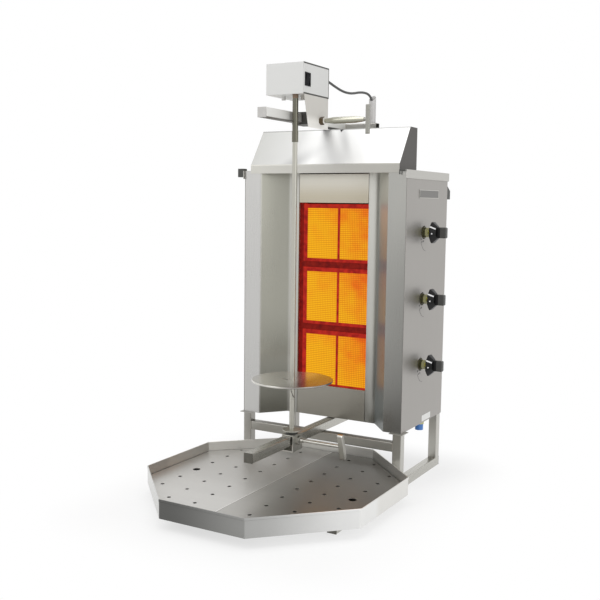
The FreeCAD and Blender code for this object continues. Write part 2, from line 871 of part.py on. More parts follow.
def casing_fittings():
    """The block at the lid's left end, the two wall spacers behind, and the bare name plate."""
    block = box(
        "block",
        ("-lid_half - block_reach", "-lid_front + gap", "casing_top - block_drop"),
        ("-lid_half", "block_length - lid_front", "casing_top - block_drop + block_height"),
    )
    node("lid_side_block", block)
    side = (
        ("body_depth", "casing_top - spacer_drop - spacer_height"),
        ("spacer_back", "casing_top - spacer_drop - spacer_height"),
        ("spacer_back", "casing_top - spacer_drop - spacer_slope"),
        ("body_depth", "casing_top - spacer_drop"),
    )
    spacers = []
    for name, left in (("left_spacer", "-half"), ("right_spacer", "half - spacer_width")):
        body = new_body(name)
        pad(body, name + "_pad", outline(body, name + "_side", "YZ_Plane", left, side), "spacer_width")
        spacers.append(body)
    node("rear_spacers", group("spacer_pair", *spacers))
    plate = box(
        "bare_plate",
        ("half", "name_plate_front", "casing_top - name_plate_drop - name_plate_height"),
        ("half + name_plate_sheet", "name_plate_front + name_plate_length", "casing_top - name_plate_drop"),
    )
    node("name_plate", plate)


def burner_height(index):
    """The middle height of a burner, counted from the top one."""
    return f"middle_burner + ({1 - index}) * burner_pitch"


def tap_height(index):
    """The height of a gas tap, counted from the top one."""
    return f"middle_burner + tap_rise + ({1 - index}) * tap_pitch"


def burners():
    """Each burner is a sheet frame over two ceramic tiles in a housing with a mixing tube at its side."""
    housings = []
    for index, name in enumerate(BURNERS):
        low = f"{burner_height(index)} - frame_height / 2"
        tile_low = f"{low} + frame_bottom"
        tile_high = f"{tile_low} + tile_height"
        plate = box(
            name + "_frame_plate",
            ("frame_left", "burner_front", low),
            ("frame_right", "tile_front", f"{low} + frame_height"),
        )
        windows = []
        tiles = []
        for place, left in (("left", "pair_left"), ("right", "pair_left + tile_width + tile_divider")):
            windows.append(
                box(
                    f"{name}_{place}_window",
                    (f"{left} + tile_overlap", "burner_front - gap", f"{tile_low} + tile_overlap"),
                    (
                        f"{left} + tile_width - tile_overlap",
                        "tile_front + gap",
                        f"{tile_high} - tile_overlap",
                    ),
                )
            )
            tile = box(
                f"{name}_{place}_tile",
                (left, "tile_front", tile_low),
                (f"{left} + tile_width", "tile_front + tile_thickness", tile_high),
            )
            tiles.append(tile)
        node(name + "_burner_frame", cut(name + "_frame_cut", plate, *windows))
        node(name + "_ceramic_tiles", group(name + "_tile_pair", *tiles))
        case = box(
            name + "_case",
            ("housing_left", "tile_front", f"{tile_low} - sheet"),
            ("housing_right", "housing_back", f"{tile_high} + sheet"),
        )
        tube = rod(
            name + "_mixing_tube",
            "x",
            ("housing_right - sheet", "tap_depth", tap_height(index)),
            "venturi_diameter",
            "venturi_length + sheet",
        )
        hollow = box(
            name + "_case_hollow",
            ("pair_left", "tile_front - gap", tile_low),
            ("pair_left + pair_width", "housing_back - sheet", tile_high),
        )
        housings.append(cut(name + "_housing", fuse(name + "_case_and_tube", case, tube), hollow))
    node("burner_housings", group("housing_set", *housings))


def burner_rails():
    """The folded uprights behind the window strips that carry the burners."""
    rails = []
    profiles = (
        ("left", "-(window_half + 3 * sheet)", "housing_left - gap", -1),
        ("right", "frame_right + gap", "housing_right + gap", 1),
    )
    for name, web, foot, sign in profiles:
        outer = f"{web} + ({sign}) * sheet"
        points = (
            (f"{outer} + ({sign}) * burner_rail_flange", "reflector_depth + sheet"),
            (web, "reflector_depth + sheet"),
            (web, "tile_front"),
            (foot, "tile_front"),
            (foot, "tile_front + sheet"),
            (outer, "tile_front + sheet"),
            (outer, "reflector_depth + 2 * sheet"),
            (f"{outer} + ({sign}) * burner_rail_flange", "reflector_depth + 2 * sheet"),
        )
        body = new_body(name + "_rail_strip")
        edge = outline(body, name + "_rail_edge", "XY_Plane", "pan_top", points)
        pad(body, name + "_rail_pad", edge, "casing_top - upper_panel_gap - pan_top")
        rails.append(body)
    node("burner_rails", group("rail_pair", *rails))


def gas_fittings():
    """The manifold pipe with its inlet and cap, three taps on it, and the pipes to the mixing tubes."""
    manifold = rod(
        "manifold_pipe",
        "z",
        ("manifold_side", "manifold_depth", "casing_bottom"),
        "manifold_diameter",
        f"{tap_height(0)} + manifold_rise - casing_bottom",
    )
    node("gas_manifold", manifold)
    taps = []
    pipes = []
    for index, name in enumerate(BURNERS):
        height = tap_height(index)
        barrel = rod(
            name + "_barrel", "x", ("tap_start", "tap_depth", height), "tap_diameter", "half - tap_start"
        )
        nut = hexagon(name + "_nut", "x", ("half", "tap_depth", height), "tap_diameter", "tap_reach")
        stub = rod(
            name + "_stub",
            "y",
            ("manifold_side", "tap_depth", height),
            "stub_diameter",
            "manifold_depth - tap_depth",
        )
        bore = rod(
            name + "_bore",
            "x",
            ("tap_end - tap_bore_depth", "tap_depth", height),
            "collar_diameter + 2 * pivot_gap",
            "tap_bore_depth + gap",
        )
        pipe_space = rod(
            name + "_pipe_space",
            "z",
            ("manifold_side", "manifold_depth", f"{height} - stub_diameter"),
            "manifold_diameter",
            "2 * stub_diameter",
        )
        taps.append(cut(name + "_tap", fuse(name + "_tap_body", barrel, nut, stub), bore, pipe_space))
        pipes.append(
            rod(
                name + "_feed",
                "x",
                ("venturi_end", "tap_depth", height),
                "feed_diameter",
                "tap_start - venturi_end",
            )
        )
    node("gas_taps", group("tap_set", *taps))
    node("burner_feed_pipes", group("feed_set", *pipes))
    inlet_bottom = "casing_bottom - inlet_nut_height"
    thread_bottom = f"{inlet_bottom} - inlet_cap_height + inlet_cap_floor"
    nut = hexagon(
        "inlet_hexagon",
        "z",
        ("manifold_side", "manifold_depth", inlet_bottom),
        "inlet_nut",
        "inlet_nut_height",
    )
    thread = rod(
        "inlet_nipple",
        "z",
        ("manifold_side", "manifold_depth", thread_bottom),
        "inlet_thread",
        "inlet_cap_height - inlet_cap_floor + gap",
    )
    node("gas_inlet", fuse("inlet", nut, thread))
    cap = rod(
        "cap_outside",
        "z",
        ("manifold_side", "manifold_depth", f"{inlet_bottom} - inlet_cap_height"),
        "inlet_cap_diameter",
        "inlet_cap_height",
    )
    hollow = rod(
        "cap_hollow",
        "z",
        ("manifold_side", "manifold_depth", thread_bottom),
        "inlet_thread",
        "inlet_cap_height",
    )
    node("inlet_cap", cut("cap_cut", cap, hollow))


def control_knobs():
    """Each knob has a bevelled skirt, a grip bar and a stem; a collar in the tap lets it be pushed in."""
    for index, name in enumerate(BURNERS):
        height = tap_height(index)
        skirt = rod(
            name + "_skirt",
            "x",
            ("knob_back", "tap_depth", height),
            "knob_diameter",
            "knob_skirt - knob_bevel",
        )
        bevel = doc.addObject("Part::Cone", name + "_bevel")
        bind(
            bevel, Radius1="knob_diameter / 2", Radius2="knob_diameter / 2 - knob_bevel", Height="knob_bevel"
        )
        bevel.Placement = FreeCAD.Placement(FreeCAD.Vector(), TURNS["x"])
        put(bevel, ("knob_front - knob_bevel", "tap_depth", height))
        grip = box(
            name + "_grip",
            ("knob_front", "tap_depth - grip_width / 2", f"{height} - grip_height / 2"),
            ("grip_end", "tap_depth + grip_width / 2", f"{height} + grip_height / 2"),
        )
        stem = rod(
            name + "_stem",
            "x",
            ("recess_floor - stem_length", "tap_depth", height),
            "stem_diameter",
            "stem_length",
        )
        recess = rod(
            name + "_recess",
            "x",
            ("knob_back - gap", "tap_depth", height),
            "knob_recess_width",
            "knob_recess + gap",
        )
        head = cut(name + "_knob_head", fuse(name + "_knob_solid", skirt, bevel, grip), recess)
        node(name + "_knob", fuse(name + "_knob_and_stem", head, stem))
        start = ("recess_floor - turning_gap - collar_length", "tap_depth", height)
        collar = rod(name + "_collar_outside", "x", start, "collar_diameter", "collar_length")
        bore = rod(
            name + "_collar_hole",
            "x",
            ("recess_floor - turning_gap - collar_length - gap", "tap_depth", height),
            "stem_diameter + 2 * pivot_gap",
            "collar_length + 2 * gap",
        )
        node(name + "_tap_collar", cut(name + "_collar", collar, bore))


def spit():
    """The spit rod with its foot flange, pivot pin and square top, and the meat disc on it."""
    middle = ("0", "-spit_front")
    pieces = (
        rod("pivot_pin", "z", (*middle, "foot_bottom - pin_length"), "pin_diameter", "pin_length"),
        rod("foot_flange", "z", (*middle, "foot_bottom"), "foot_diameter", "foot_height"),
        rod("spit_bar", "z", (*middle, "rod_bottom"), "rod_diameter", "rod_top - rod_bottom"),
        box(
            "tang",
            ("-tang_width / 2", "-spit_front - tang_width / 2", "rod_top"),
            ("tang_width / 2", "-spit_front + tang_width / 2", "rod_top + tang_length"),
        ),
    )
    node("spit_rod", fuse("spit_welded", *pieces))
    dish = cut(
        "dish",
        rod("dish_outside", "z", (*middle, "disc_top - disc_rim"), "disc_diameter", "disc_rim"),
        rod(
            "dish_hollow",
            "z",
            (*middle, "disc_top - 2 * disc_rim"),
            "disc_diameter - 2 * disc_sheet",
            "2 * disc_rim - disc_sheet",
        ),
    )
    hub = rod("disc_hub", "z", (*middle, "disc_top - hub_height"), "hub_diameter", "hub_height")
    bore = rod("disc_bore", "z", (*middle, "disc_top - 2 * hub_height"), "rod_diameter", "3 * hub_height")
    node("spit_disc", cut("disc_cut", fuse("disc_and_hub", dish, hub), bore))


def lower_carriage():
    """The clamp that slides on the lower arm, with its welded nut, and the spit's bearing cup."""
    outside = box(
        "clamp_outside",
        ("clamp_left - clamp_sheet", "clamp_front", "clamp_floor - clamp_sheet"),
        ("clamp_outer", "clamp_back", "clamp_top"),
    )
    inside = box(
        "clamp_inside",
        ("clamp_left", "clamp_front - gap", "clamp_floor"),
        ("clamp_right", "clamp_back + gap", "clamp_roof"),
    )
    nut = hexagon(
        "lower_nut", "x", ("clamp_outer", "-spit_front", "lock_height"), "lock_nut", "lock_nut_length"
    )
    hole = rod(
        "lower_nut_hole",
        "x",
        ("clamp_right - gap", "-spit_front", "lock_height"),
        "lock_rod + 2 * pivot_gap",
        "clamp_sheet + lock_nut_length + 2 * gap",
    )
    node(
        "lower_carriage_clamp",
        cut("clamp_drilled", fuse("clamp_welded", cut("clamp_strap", outside, inside), nut), hole),
    )
    cup = rod("cup_outside", "z", ("0", "-spit_front", "clamp_top"), "cup_diameter", "cup_height")
    bore = rod(
        "cup_bore",
        "z",
        ("0", "-spit_front", "foot_bottom - pin_length - gap"),
        "pin_diameter + 2 * pivot_gap",
        "pin_length + gap",
    )
    node("spit_bearing_cup", cut("cup_cut", cup, bore))


def chamfered_bar(name, side, width, length, chamfer):
    """A square bar along Z with chamfered ends, from X = side, about the axis Y = Z = 0."""
    half_width, half_length = f"{width} / 2", f"{length} / 2"
    upper = (
        (half_width, f"{half_length} - {chamfer}"),
        (f"{half_width} - {chamfer}", half_length),
        (f"{chamfer} - {half_width}", half_length),
        (f"-{half_width}", f"{half_length} - {chamfer}"),
    )
    points = [*upper, *[(f"-({y})", f"-({z})") for y, z in upper]]
    body = new_body(name)
    pad(body, name + "_pad", outline(body, name + "_side", "YZ_Plane", side, points), width)
    return body


def barrel_grip(start):
    """A round grip along +X from a start: it widens, runs straight and narrows again."""
    pieces = []
    taper = "tube_handle_taper"
    ends = (("rise", start, "tube_handle_end / 2", "tube_handle / 2"),)
    ends += (("fall", f"{start} + tube_handle_length - {taper}", "tube_handle / 2", "tube_handle_end / 2"),)
    for name, place, first, last in ends:
        cone = doc.addObject("Part::Cone", "grip_" + name)
        bind(cone, Radius1=first, Radius2=last, Height=taper)
        cone.Placement = FreeCAD.Placement(FreeCAD.Vector(), TURNS["x"])
        put(cone, (place, "0", "0"))
        pieces.append(cone)
    middle = (f"{start} + {taper}", "0", "0")
    return [*pieces, rod("grip_middle", "x", middle, "tube_handle", f"tube_handle_length - 2 * {taper}")]


def clamping_handles():
    """The two screws that clamp the carriages to their arms, each with a cross bar at its end."""
    tip = "tube / 2 + lock_tip_gap"
    lower = fuse(
        "lower_screw",
        rod("lower_screw_rod", "x", (tip, "0", "0"), "lock_rod", f"lower_handle_reach - {tip}"),
        rod(
            "lower_screw_collar", "x", ("lower_nut_end + gap", "0", "0"), "lock_collar", "lock_collar_length"
        ),
        chamfered_bar(
            "lower_bar", "lower_handle_reach", "handle_bar", "handle_bar_length", "handle_bar_chamfer"
        ),
    )
    lower.Placement = FreeCAD.Placement(FreeCAD.Vector(), FreeCAD.Rotation(FreeCAD.Vector(1, 0, 0), 1))
    bind(lower, Placement__Rotation__Angle="handle_tilt")
    put(lower, ("0", "-spit_front", "lock_height"))
    node("lower_clamping_handle", lower)
    tip = "upper_arm_right + lock_tip_gap"
    upper = fuse(
        "upper_screw",
        rod("upper_screw_rod", "x", (tip, "0", "0"), "lock_rod", f"upper_bar_left - ({tip})"),
        *barrel_grip("upper_nut_end + tube_handle_start"),
        chamfered_bar(
            "upper_cross_bar", "upper_bar_left", "upper_bar", "upper_bar_length", "upper_bar_chamfer"
        ),
    )
    put(upper, ("0", "-upper_lock_back", "upper_lock_height"))
    node("upper_clamping_handle", upper)


def motor_carriage():
    """The slider on the upper arm and the plate beside it that carries the motor box."""
    block = box(
        "slider_outside",
        ("slider_bore_left - slider_wall", "-slider_front", "upper_arm_bottom - gap - slider_wall"),
        ("carriage_left", "slider_length - slider_front", "upper_arm_top + gap + slider_wall"),
    )
    bore = box(
        "slider_bore",
        ("slider_bore_left", "-slider_front - gap", "upper_arm_bottom - gap"),
        ("slider_bore_right", "slider_length - slider_front + gap", "upper_arm_top + gap"),
    )
    hole = rod(
        "slider_hole",
        "x",
        ("slider_bore_right - gap", "-upper_lock_back", "upper_lock_height"),
        "lock_rod + 2 * pivot_gap",
        "carriage_left - slider_bore_right + 2 * gap",
    )
    node("upper_arm_slider", cut("slider_cut", block, bore, hole))
    side = (
        ("-carriage_top_front", "box_bottom"),
        ("-carriage_foot_front", "carriage_foot"),
        ("-carriage_back", "carriage_foot"),
        ("-carriage_back", "box_bottom"),
    )
    body = new_body("carriage_side")
    pad(
        body,
        "carriage_pad",
        outline(body, "carriage_edge", "YZ_Plane", "carriage_left", side),
        "carriage_sheet",
    )
    flange = box(
        "carriage_flange",
        ("carriage_left - flange_width", "-flange_front", "box_bottom - carriage_sheet"),
        ("carriage_left", "-carriage_back", "box_bottom"),
    )
    lip = box(
        "carriage_lip",
        ("carriage_left - flange_width", "-flange_front", "box_bottom - flange_lip"),
        ("carriage_left", "carriage_sheet - flange_front", "box_bottom"),
    )
    nut = hexagon(
        "upper_nut",
        "x",
        ("box_right", "-upper_lock_back", "upper_lock_height"),
        "upper_nut",
        "upper_nut_length",
    )
    hole = rod(
        "carriage_hole",
        "x",
        ("carriage_left - gap", "-upper_lock_back", "upper_lock_height"),
        "lock_rod + 2 * pivot_gap",
        "carriage_sheet + upper_nut_length + 2 * gap",
    )
    node(
        "motor_carriage_plate", cut("carriage_drilled", fuse("carriage_welded", body, flange, lip, nut), hole)
    )


def motor_box():
    """The motor's cover and side cover, and the gear motor that turns the drive shaft."""
    outside = box(
        "cover_outside",
        ("box_left", "-box_front", "box_bottom"),
        ("box_right - sheet", "box_back", "box_top"),
    )
    inside = box(
        "cover_inside",
        ("box_left + sheet", "sheet - box_front", "box_bottom + sheet"),
        ("box_right + sheet", "box_back - sheet", "box_top - sheet"),
    )
    shaft_hole = rod(
        "shaft_hole_cut", "z", ("0", "-spit_front", "box_bottom - gap"), "shaft_hole", "2 * sheet"
    )
    foot = rod(
        "box_foot_screw",
        "z",
        ("-box_foot_side", "-box_foot_front", "box_bottom - box_foot_height"),
        "box_foot",
        "box_foot_height",
    )
    gland = rod(
        "cable_gland",
        "y",
        (CABLE_POINTS[0][0], "box_back", CABLE_POINTS[0][2]),
        "gland_diameter",
        "gland_length",
    )
    node("motor_cover", fuse("cover_fitted", cut("cover_cut", outside, inside, shaft_hole), foot, gland))
    plate = box(
        "side_cover_plate",
        ("box_right - sheet", "-box_front", "box_bottom + seam"),
        ("box_right", "box_back - seam", "box_top - seam"),
    )
    window = box(
        "switch_window",
        ("box_right - 2 * sheet", "switch_lip - switch_front", "switch_bottom + switch_lip"),
        (
            "box_right + sheet",
            "switch_width - switch_lip - switch_front",
            "switch_bottom + switch_height - switch_lip",
        ),
    )
    node("motor_side_cover", cut("side_cover_cut", plate, window))
    case = box(
        "motor_case",
        ("-motor_left", "motor_front", "motor_bottom"),
        ("motor_width - motor_left", "motor_front + motor_depth", "motor_bottom + motor_height"),
    )
    pad_block = box(
        "motor_pad",
        ("-motor_left", "-spit_front + shaft_hole", "box_bottom + sheet"),
        ("motor_pad_width - motor_left", "-spit_front + shaft_hole + motor_pad_depth", "motor_bottom"),
    )
    bore = rod(
        "motor_bore",
        "z",
        ("0", "-spit_front", "motor_bottom - gap"),
        "shaft_diameter + 2 * pivot_gap",
        "shaft_length + gap",
    )
    node("gear_motor", cut("motor_cut", fuse("motor_solid", case, pad_block), bore))


def drive():
    """The coupling on the motor's shaft, and the sleeve whose square socket turns the spit."""
    middle = ("0", "-spit_front")
    coupling = rod(
        "coupling_body",
        "z",
        (*middle, "coupling_bottom"),
        "coupling_diameter",
        "coupling_top - coupling_bottom",
    )
    shaft = rod(
        "coupling_shaft", "z", (*middle, "coupling_top"), "shaft_diameter", "shaft_length - turning_gap"
    )
    node("drive_coupling", fuse("coupling", coupling, shaft))
    sleeve = rod("sleeve_body", "z", (*middle, "sleeve_bottom"), "sleeve_diameter", "sleeve_length")
    socket = rod("socket_body", "z", (*middle, "socket_bottom"), "socket_diameter", "socket_length")
    hollow = box(
        "socket_hollow",
        (
            "-tang_width / 2 - turning_gap",
            "-spit_front - tang_width / 2 - turning_gap",
            "socket_bottom - gap",
        ),
        (
            "tang_width / 2 + turning_gap",
            "-spit_front + tang_width / 2 + turning_gap",
            "rod_top + tang_length + gap",
        ),
    )
    node("drive_sleeve", cut("sleeve_cut", fuse("sleeve", sleeve, socket), hollow))


def switch():
    """The motor's switch: a housing let into the side cover, and a rocker on a pin."""
    lip_front, lip_back = "-switch_front", "switch_width - switch_front"
    bezel = box(
        "switch_bezel",
        ("box_right", lip_front, "switch_bottom"),
        ("box_right + switch_proud", lip_back, "switch_bottom + switch_height"),
    )
    housing = box(
        "switch_case",
        ("box_right - switch_depth", f"{lip_front} + switch_lip", "switch_bottom + switch_lip"),
        ("box_right", f"{lip_back} - switch_lip", "switch_bottom + switch_height - switch_lip"),
    )
    well = box(
        "switch_well",
        (
            "box_right - switch_depth + switch_floor",
            f"{lip_front} + switch_rim",
            "switch_bottom + switch_rim",
        ),
        (
            "box_right + 2 * switch_proud",
            f"{lip_back} - switch_rim",
            "switch_bottom + switch_height - switch_rim",
        ),
    )
    pin_length = "switch_width - 2 * switch_lip - switch_rim / 2"
    pin_start = f"switch_width / 2 - switch_front - ({pin_length}) / 2"
    pin_height = "switch_bottom + switch_height / 2"
    pin_hole = rod(
        "rocker_pin_hole",
        "y",
        ("rocker_side", f"{pin_start} - turning_gap", pin_height),
        "rocker_pin + 2 * pivot_gap",
        f"{pin_length} + 2 * turning_gap",
    )
    node("switch_housing", cut("switch_cut", fuse("switch_solid", bezel, housing), well, pin_hole))
    half_width = "switch_width / 2 - switch_rim - rocker_gap"
    half_height = "switch_height / 2 - switch_rim - rocker_gap"
    paddle = box(
        "rocker_paddle",
        ("-rocker_thickness / 2", f"-({half_width})", f"-({half_height})"),
        ("rocker_thickness / 2", half_width, half_height),
    )
    pin = rod("rocker_pin_bar", "y", ("0", f"-({pin_length}) / 2", "0"), "rocker_pin", pin_length)
    rocker = fuse("rocker", paddle, pin)
    rocker.Placement = FreeCAD.Placement(FreeCAD.Vector(), FreeCAD.Rotation(FreeCAD.Vector(0, 1, 0), 1))
    bind(rocker, Placement__Rotation__Angle="rocker_angle")
    put(rocker, ("rocker_side", "switch_width / 2 - switch_front", pin_height))
    node("switch_rocker", rocker)


def tray_outline(grow):
    """The right half of the tray's outline, moved outwards: a rectangle whose corners are cut at 45 degrees.

    The points run from the front edge's right end to the back edge's right end.
    """
    side = f"(tray_width / 2 + {grow})"
    reach = f"(tray_depth / 2 + {grow})"
    front = f"(tray_front_corner + wall_shift * {grow})"
    back = f"(tray_back_corner + wall_shift * {grow})"
    spots = (
        (f"{side} - {front}", f"-{reach}"),
        (side, f"{front} - {reach}"),
        (side, f"{reach} - {back}"),
        (f"{side} - {back}", reach),
    )
    return [(x, f"{y} - tray_middle") for x, y in spots]


def octagon(grow):
    """The tray's whole outline, moved outwards by some width."""
    right = tray_outline(grow)
    return right + [(f"-({x})", y) for x, y in reversed(right)]


def tray():
    """The eight-sided drip tray with a folded rim, which stands on the floor rails."""
    body = new_body("tray_sheet_metal")
    wall = octagon("0")
    pad(body, "tray_wall", outline(body, "tray_edge", "XY_Plane", "tray_bottom", wall), "tray_height")
    hem = octagon("tray_hem")
    pad(
        body,
        "tray_hem_pad",
        outline(body, "tray_hem_edge", "XY_Plane", "tray_top - tray_rim", hem),
        "tray_rim",
    )
    inner = octagon("(-tray_sheet)")
    pocket(
        body,
        "tray_hollow",
        outline(body, "tray_inside", "XY_Plane", "tray_top", inner),
        "tray_height - tray_sheet",
    )
    node("drip_tray", body)


def half_octagon(sign, grow, seam):
    """One side of the tray's outline, moved outwards by some width, from the seam."""
    right = tray_outline(grow)
    spots = [(seam, right[0][1]), *right, (seam, right[-1][1])]
    return [(f"({sign}) * ({x})", y) for x, y in spots]


def drip_plates():
    """Two perforated half plates with turned-down edges, which lie in the tray and meet at its middle."""
    for side, sign in SIDES.items():
        body = new_body(side + "_plate")
        edge = half_octagon(sign, "(-drip_plate_inset)", "drip_plate_seam / 2")
        sketch = outline(body, side + "_plate_edge", "XY_Plane", "drip_plate_bottom", edge)
        pad(body, side + "_plate_pad", sketch, "drip_plate_height")
        inner = half_octagon(
            sign, "(-drip_plate_inset - drip_plate_sheet)", "drip_plate_seam / 2 + drip_plate_sheet"
        )
        under = outline(body, side + "_plate_under", "XY_Plane", "drip_plate_bottom", inner)
        pocket(body, side + "_plate_hollow", under, "drip_plate_height - drip_plate_sheet", upwards=True)
        holes = []
        for column in (1, 2, 3):
            for row in (-4, -3, -2, -1, 1, 2, 3, 4):
                beyond_corner = column == 3 and abs(row) == 4
                if beyond_corner:
                    continue
                at_finger_hole = column == 3 and row == -1
                place = (row - 0.5) if row > 0 else (row + 0.5)
                diameter = "finger_hole" if at_finger_hole else "hole_diameter"
                holes.append(
                    (
                        f"({sign * column}) * hole_column",
                        f"({place}) * hole_row + hole_shift - tray_middle",
                        diameter,
                    ),
                )
        sketch = circles(body, side + "_plate_holes", "XY_Plane", "drip_plate_top", holes)
        pocket(body, side + "_plate_punched", sketch, "2 * drip_plate_sheet")
        node(side + "_drip_plate", body)


def motor_cable():
    """The cable from the gland to the post: straight runs joined by tangent arcs; prints their radii."""
    shift = FreeCAD.Vector(value("shift_x"), value("shift_y"), 0)
    points = [FreeCAD.Vector(*point) + shift for point in CABLE_POINTS]
    diameter = value("cable_diameter")
    edges = []
    start = points[0]
    for before, corner, after in zip(points, points[1:], points[2:]):
        towards = (before - corner).normalize()
        onward = (after - corner).normalize()
        shorter = min((before - corner).Length, (after - corner).Length)
        turn = math.pi - towards.getAngle(onward)
        trim = 0.45 * shorter
        radius = trim / math.tan(turn / 2)
        print(f"cable radius {radius:.1f} mm, turn {math.degrees(turn):.0f} degrees, run {shorter:.1f} mm")
        first = corner + towards * trim
        last = corner + onward * trim
        inward = (towards + onward).normalize()
        middle = corner + inward * (radius / math.cos(turn / 2) - radius)
        edges.append(Part.LineSegment(start, first).toShape())
        edges.append(Part.Arc(first, middle, last).toShape())
        start = last
    edges.append(Part.LineSegment(start, points[-1]).toShape())
    wire = Part.Wire(edges)
    circle = Part.Wire(Part.makeCircle(diameter / 2, points[0], points[1] - points[0]))
    tube = wire.makePipeShell([circle], True, False)
    expected = math.pi * diameter**2 / 4 * wire.Length
    print(f"cable length {wire.Length:.1f} mm, volume {tube.Volume:.0f}, section times length {expected:.0f}")
    item = doc.addObject("Part::Feature", "cable")
    item.Shape = tube
    item.Label = "motor_cable"
    nodes.append(item)


floor_frame()
arms()
cable_post()
side_panels()
base_pan()
back_panel()
front_wings()
front_panels()
lid()
heat_hood()
casing_fittings()
burners()
burner_rails()
gas_fittings()
control_knobs()
spit()
lower_carriage()
clamping_handles()
motor_carriage()
motor_box()
drive()
switch()
tray()
drip_plates()
doc.recompute()
motor_cable()
doc.recompute()

for item in doc.Objects:
    if {"Invalid", "Error"} & set(item.State):
        raise RuntimeError(f"{item.Name} failed: {item.State}")
for item in nodes:
    if item.Shape.isNull() or not item.Shape.isValid():
        raise RuntimeError(f"{item.Label} has no valid shape")

os.makedirs("parts", exist_ok=True)
for item in nodes:
    item.Shape.exportStep(f"parts/{item.Label}.step")
print(len(nodes), "parts written")
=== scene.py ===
import json
import math

import bmesh
import bpy
import numpy as np
from mathutils import Matrix, Vector

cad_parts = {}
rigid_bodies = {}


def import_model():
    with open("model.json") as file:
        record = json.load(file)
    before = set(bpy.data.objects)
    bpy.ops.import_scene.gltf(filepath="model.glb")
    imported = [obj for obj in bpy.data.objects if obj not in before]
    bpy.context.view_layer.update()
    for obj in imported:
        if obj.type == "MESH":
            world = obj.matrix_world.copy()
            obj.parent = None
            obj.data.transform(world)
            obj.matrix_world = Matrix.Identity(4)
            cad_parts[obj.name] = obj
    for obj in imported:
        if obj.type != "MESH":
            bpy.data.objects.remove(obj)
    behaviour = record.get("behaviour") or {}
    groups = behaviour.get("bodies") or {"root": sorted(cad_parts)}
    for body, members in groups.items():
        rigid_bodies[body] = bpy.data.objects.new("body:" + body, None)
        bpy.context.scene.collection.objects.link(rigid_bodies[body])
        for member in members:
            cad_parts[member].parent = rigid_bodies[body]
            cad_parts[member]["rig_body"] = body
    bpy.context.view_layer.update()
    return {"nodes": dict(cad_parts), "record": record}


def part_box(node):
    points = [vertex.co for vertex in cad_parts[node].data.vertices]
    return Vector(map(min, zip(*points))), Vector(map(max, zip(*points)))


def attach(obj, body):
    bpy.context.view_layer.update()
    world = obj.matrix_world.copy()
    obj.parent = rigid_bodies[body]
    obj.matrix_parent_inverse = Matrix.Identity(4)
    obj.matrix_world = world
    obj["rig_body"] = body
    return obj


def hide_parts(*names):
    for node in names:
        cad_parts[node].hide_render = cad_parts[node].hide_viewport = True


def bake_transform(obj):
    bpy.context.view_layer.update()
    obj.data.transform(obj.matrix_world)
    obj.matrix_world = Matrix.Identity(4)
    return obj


# Doner kebab grill: finishes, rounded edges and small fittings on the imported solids.
# Metres, +Z up, the burners face -Y, the knobs are on +X.

MM = 0.001
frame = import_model()
NODES = frame["nodes"]
BURNERS = ("upper", "middle", "lower")


def casing_origin():
    """The middle of the casing's width, at the front of the wings, on the floor."""
    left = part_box("left_side_panel")[0].x
    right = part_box("right_side_panel")[1].x
    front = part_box("left_front_wing")[0].y
    return Vector(((left + right) / 2, front, 0))


CASING = casing_origin()

# Sizes without a unit are millimetres, and places are counted from the casing's front middle on the floor
CASING_SIDE = 250
TUBE = 25
KNOB_BACK = 275
TILE_HOLE_PITCH = 5.4 * MM
RIGHT = (1, 0, 0)
HEXAGON = 72, 6, 1.0

# Finishes


def operator(operation, swapped=False):
    """A sum of a Value and something else, or of the two the other way round."""
    if swapped:
        return lambda value, other: value.sum(operation, other, value)
    return lambda value, other: value.sum(operation, value, other)


class Value:
    """A number on its way through a finish, so that sums on it can be written as sums."""

    __add__, __radd__ = operator("ADD"), operator("ADD", True)
    __sub__, __rsub__ = operator("SUBTRACT"), operator("SUBTRACT", True)
    __mul__, __rmul__ = operator("MULTIPLY"), operator("MULTIPLY", True)
    __truediv__, __pow__, larger = operator("DIVIDE"), operator("POWER"), operator("MAXIMUM")

    def __init__(self, finish, socket):
        self.finish = finish
        self.socket = socket

    def __abs__(self):
        return self.sum("ABSOLUTE", self)

    def sum(self, operation, *items):
        return self.finish.node("ShaderNodeMath", {"operation": operation}, dict(enumerate(items)))

    def fraction(self):
        return self.sum("FRACT", self)

    def rise(self, low, high):
        """0 below low, 1 above high, and a smooth step between them."""
        inputs = {"Value": self, "From Min": low, "From Max": high}
        return self.finish.node("ShaderNodeMapRange", {"interpolation_type": "SMOOTHSTEP"}, inputs)


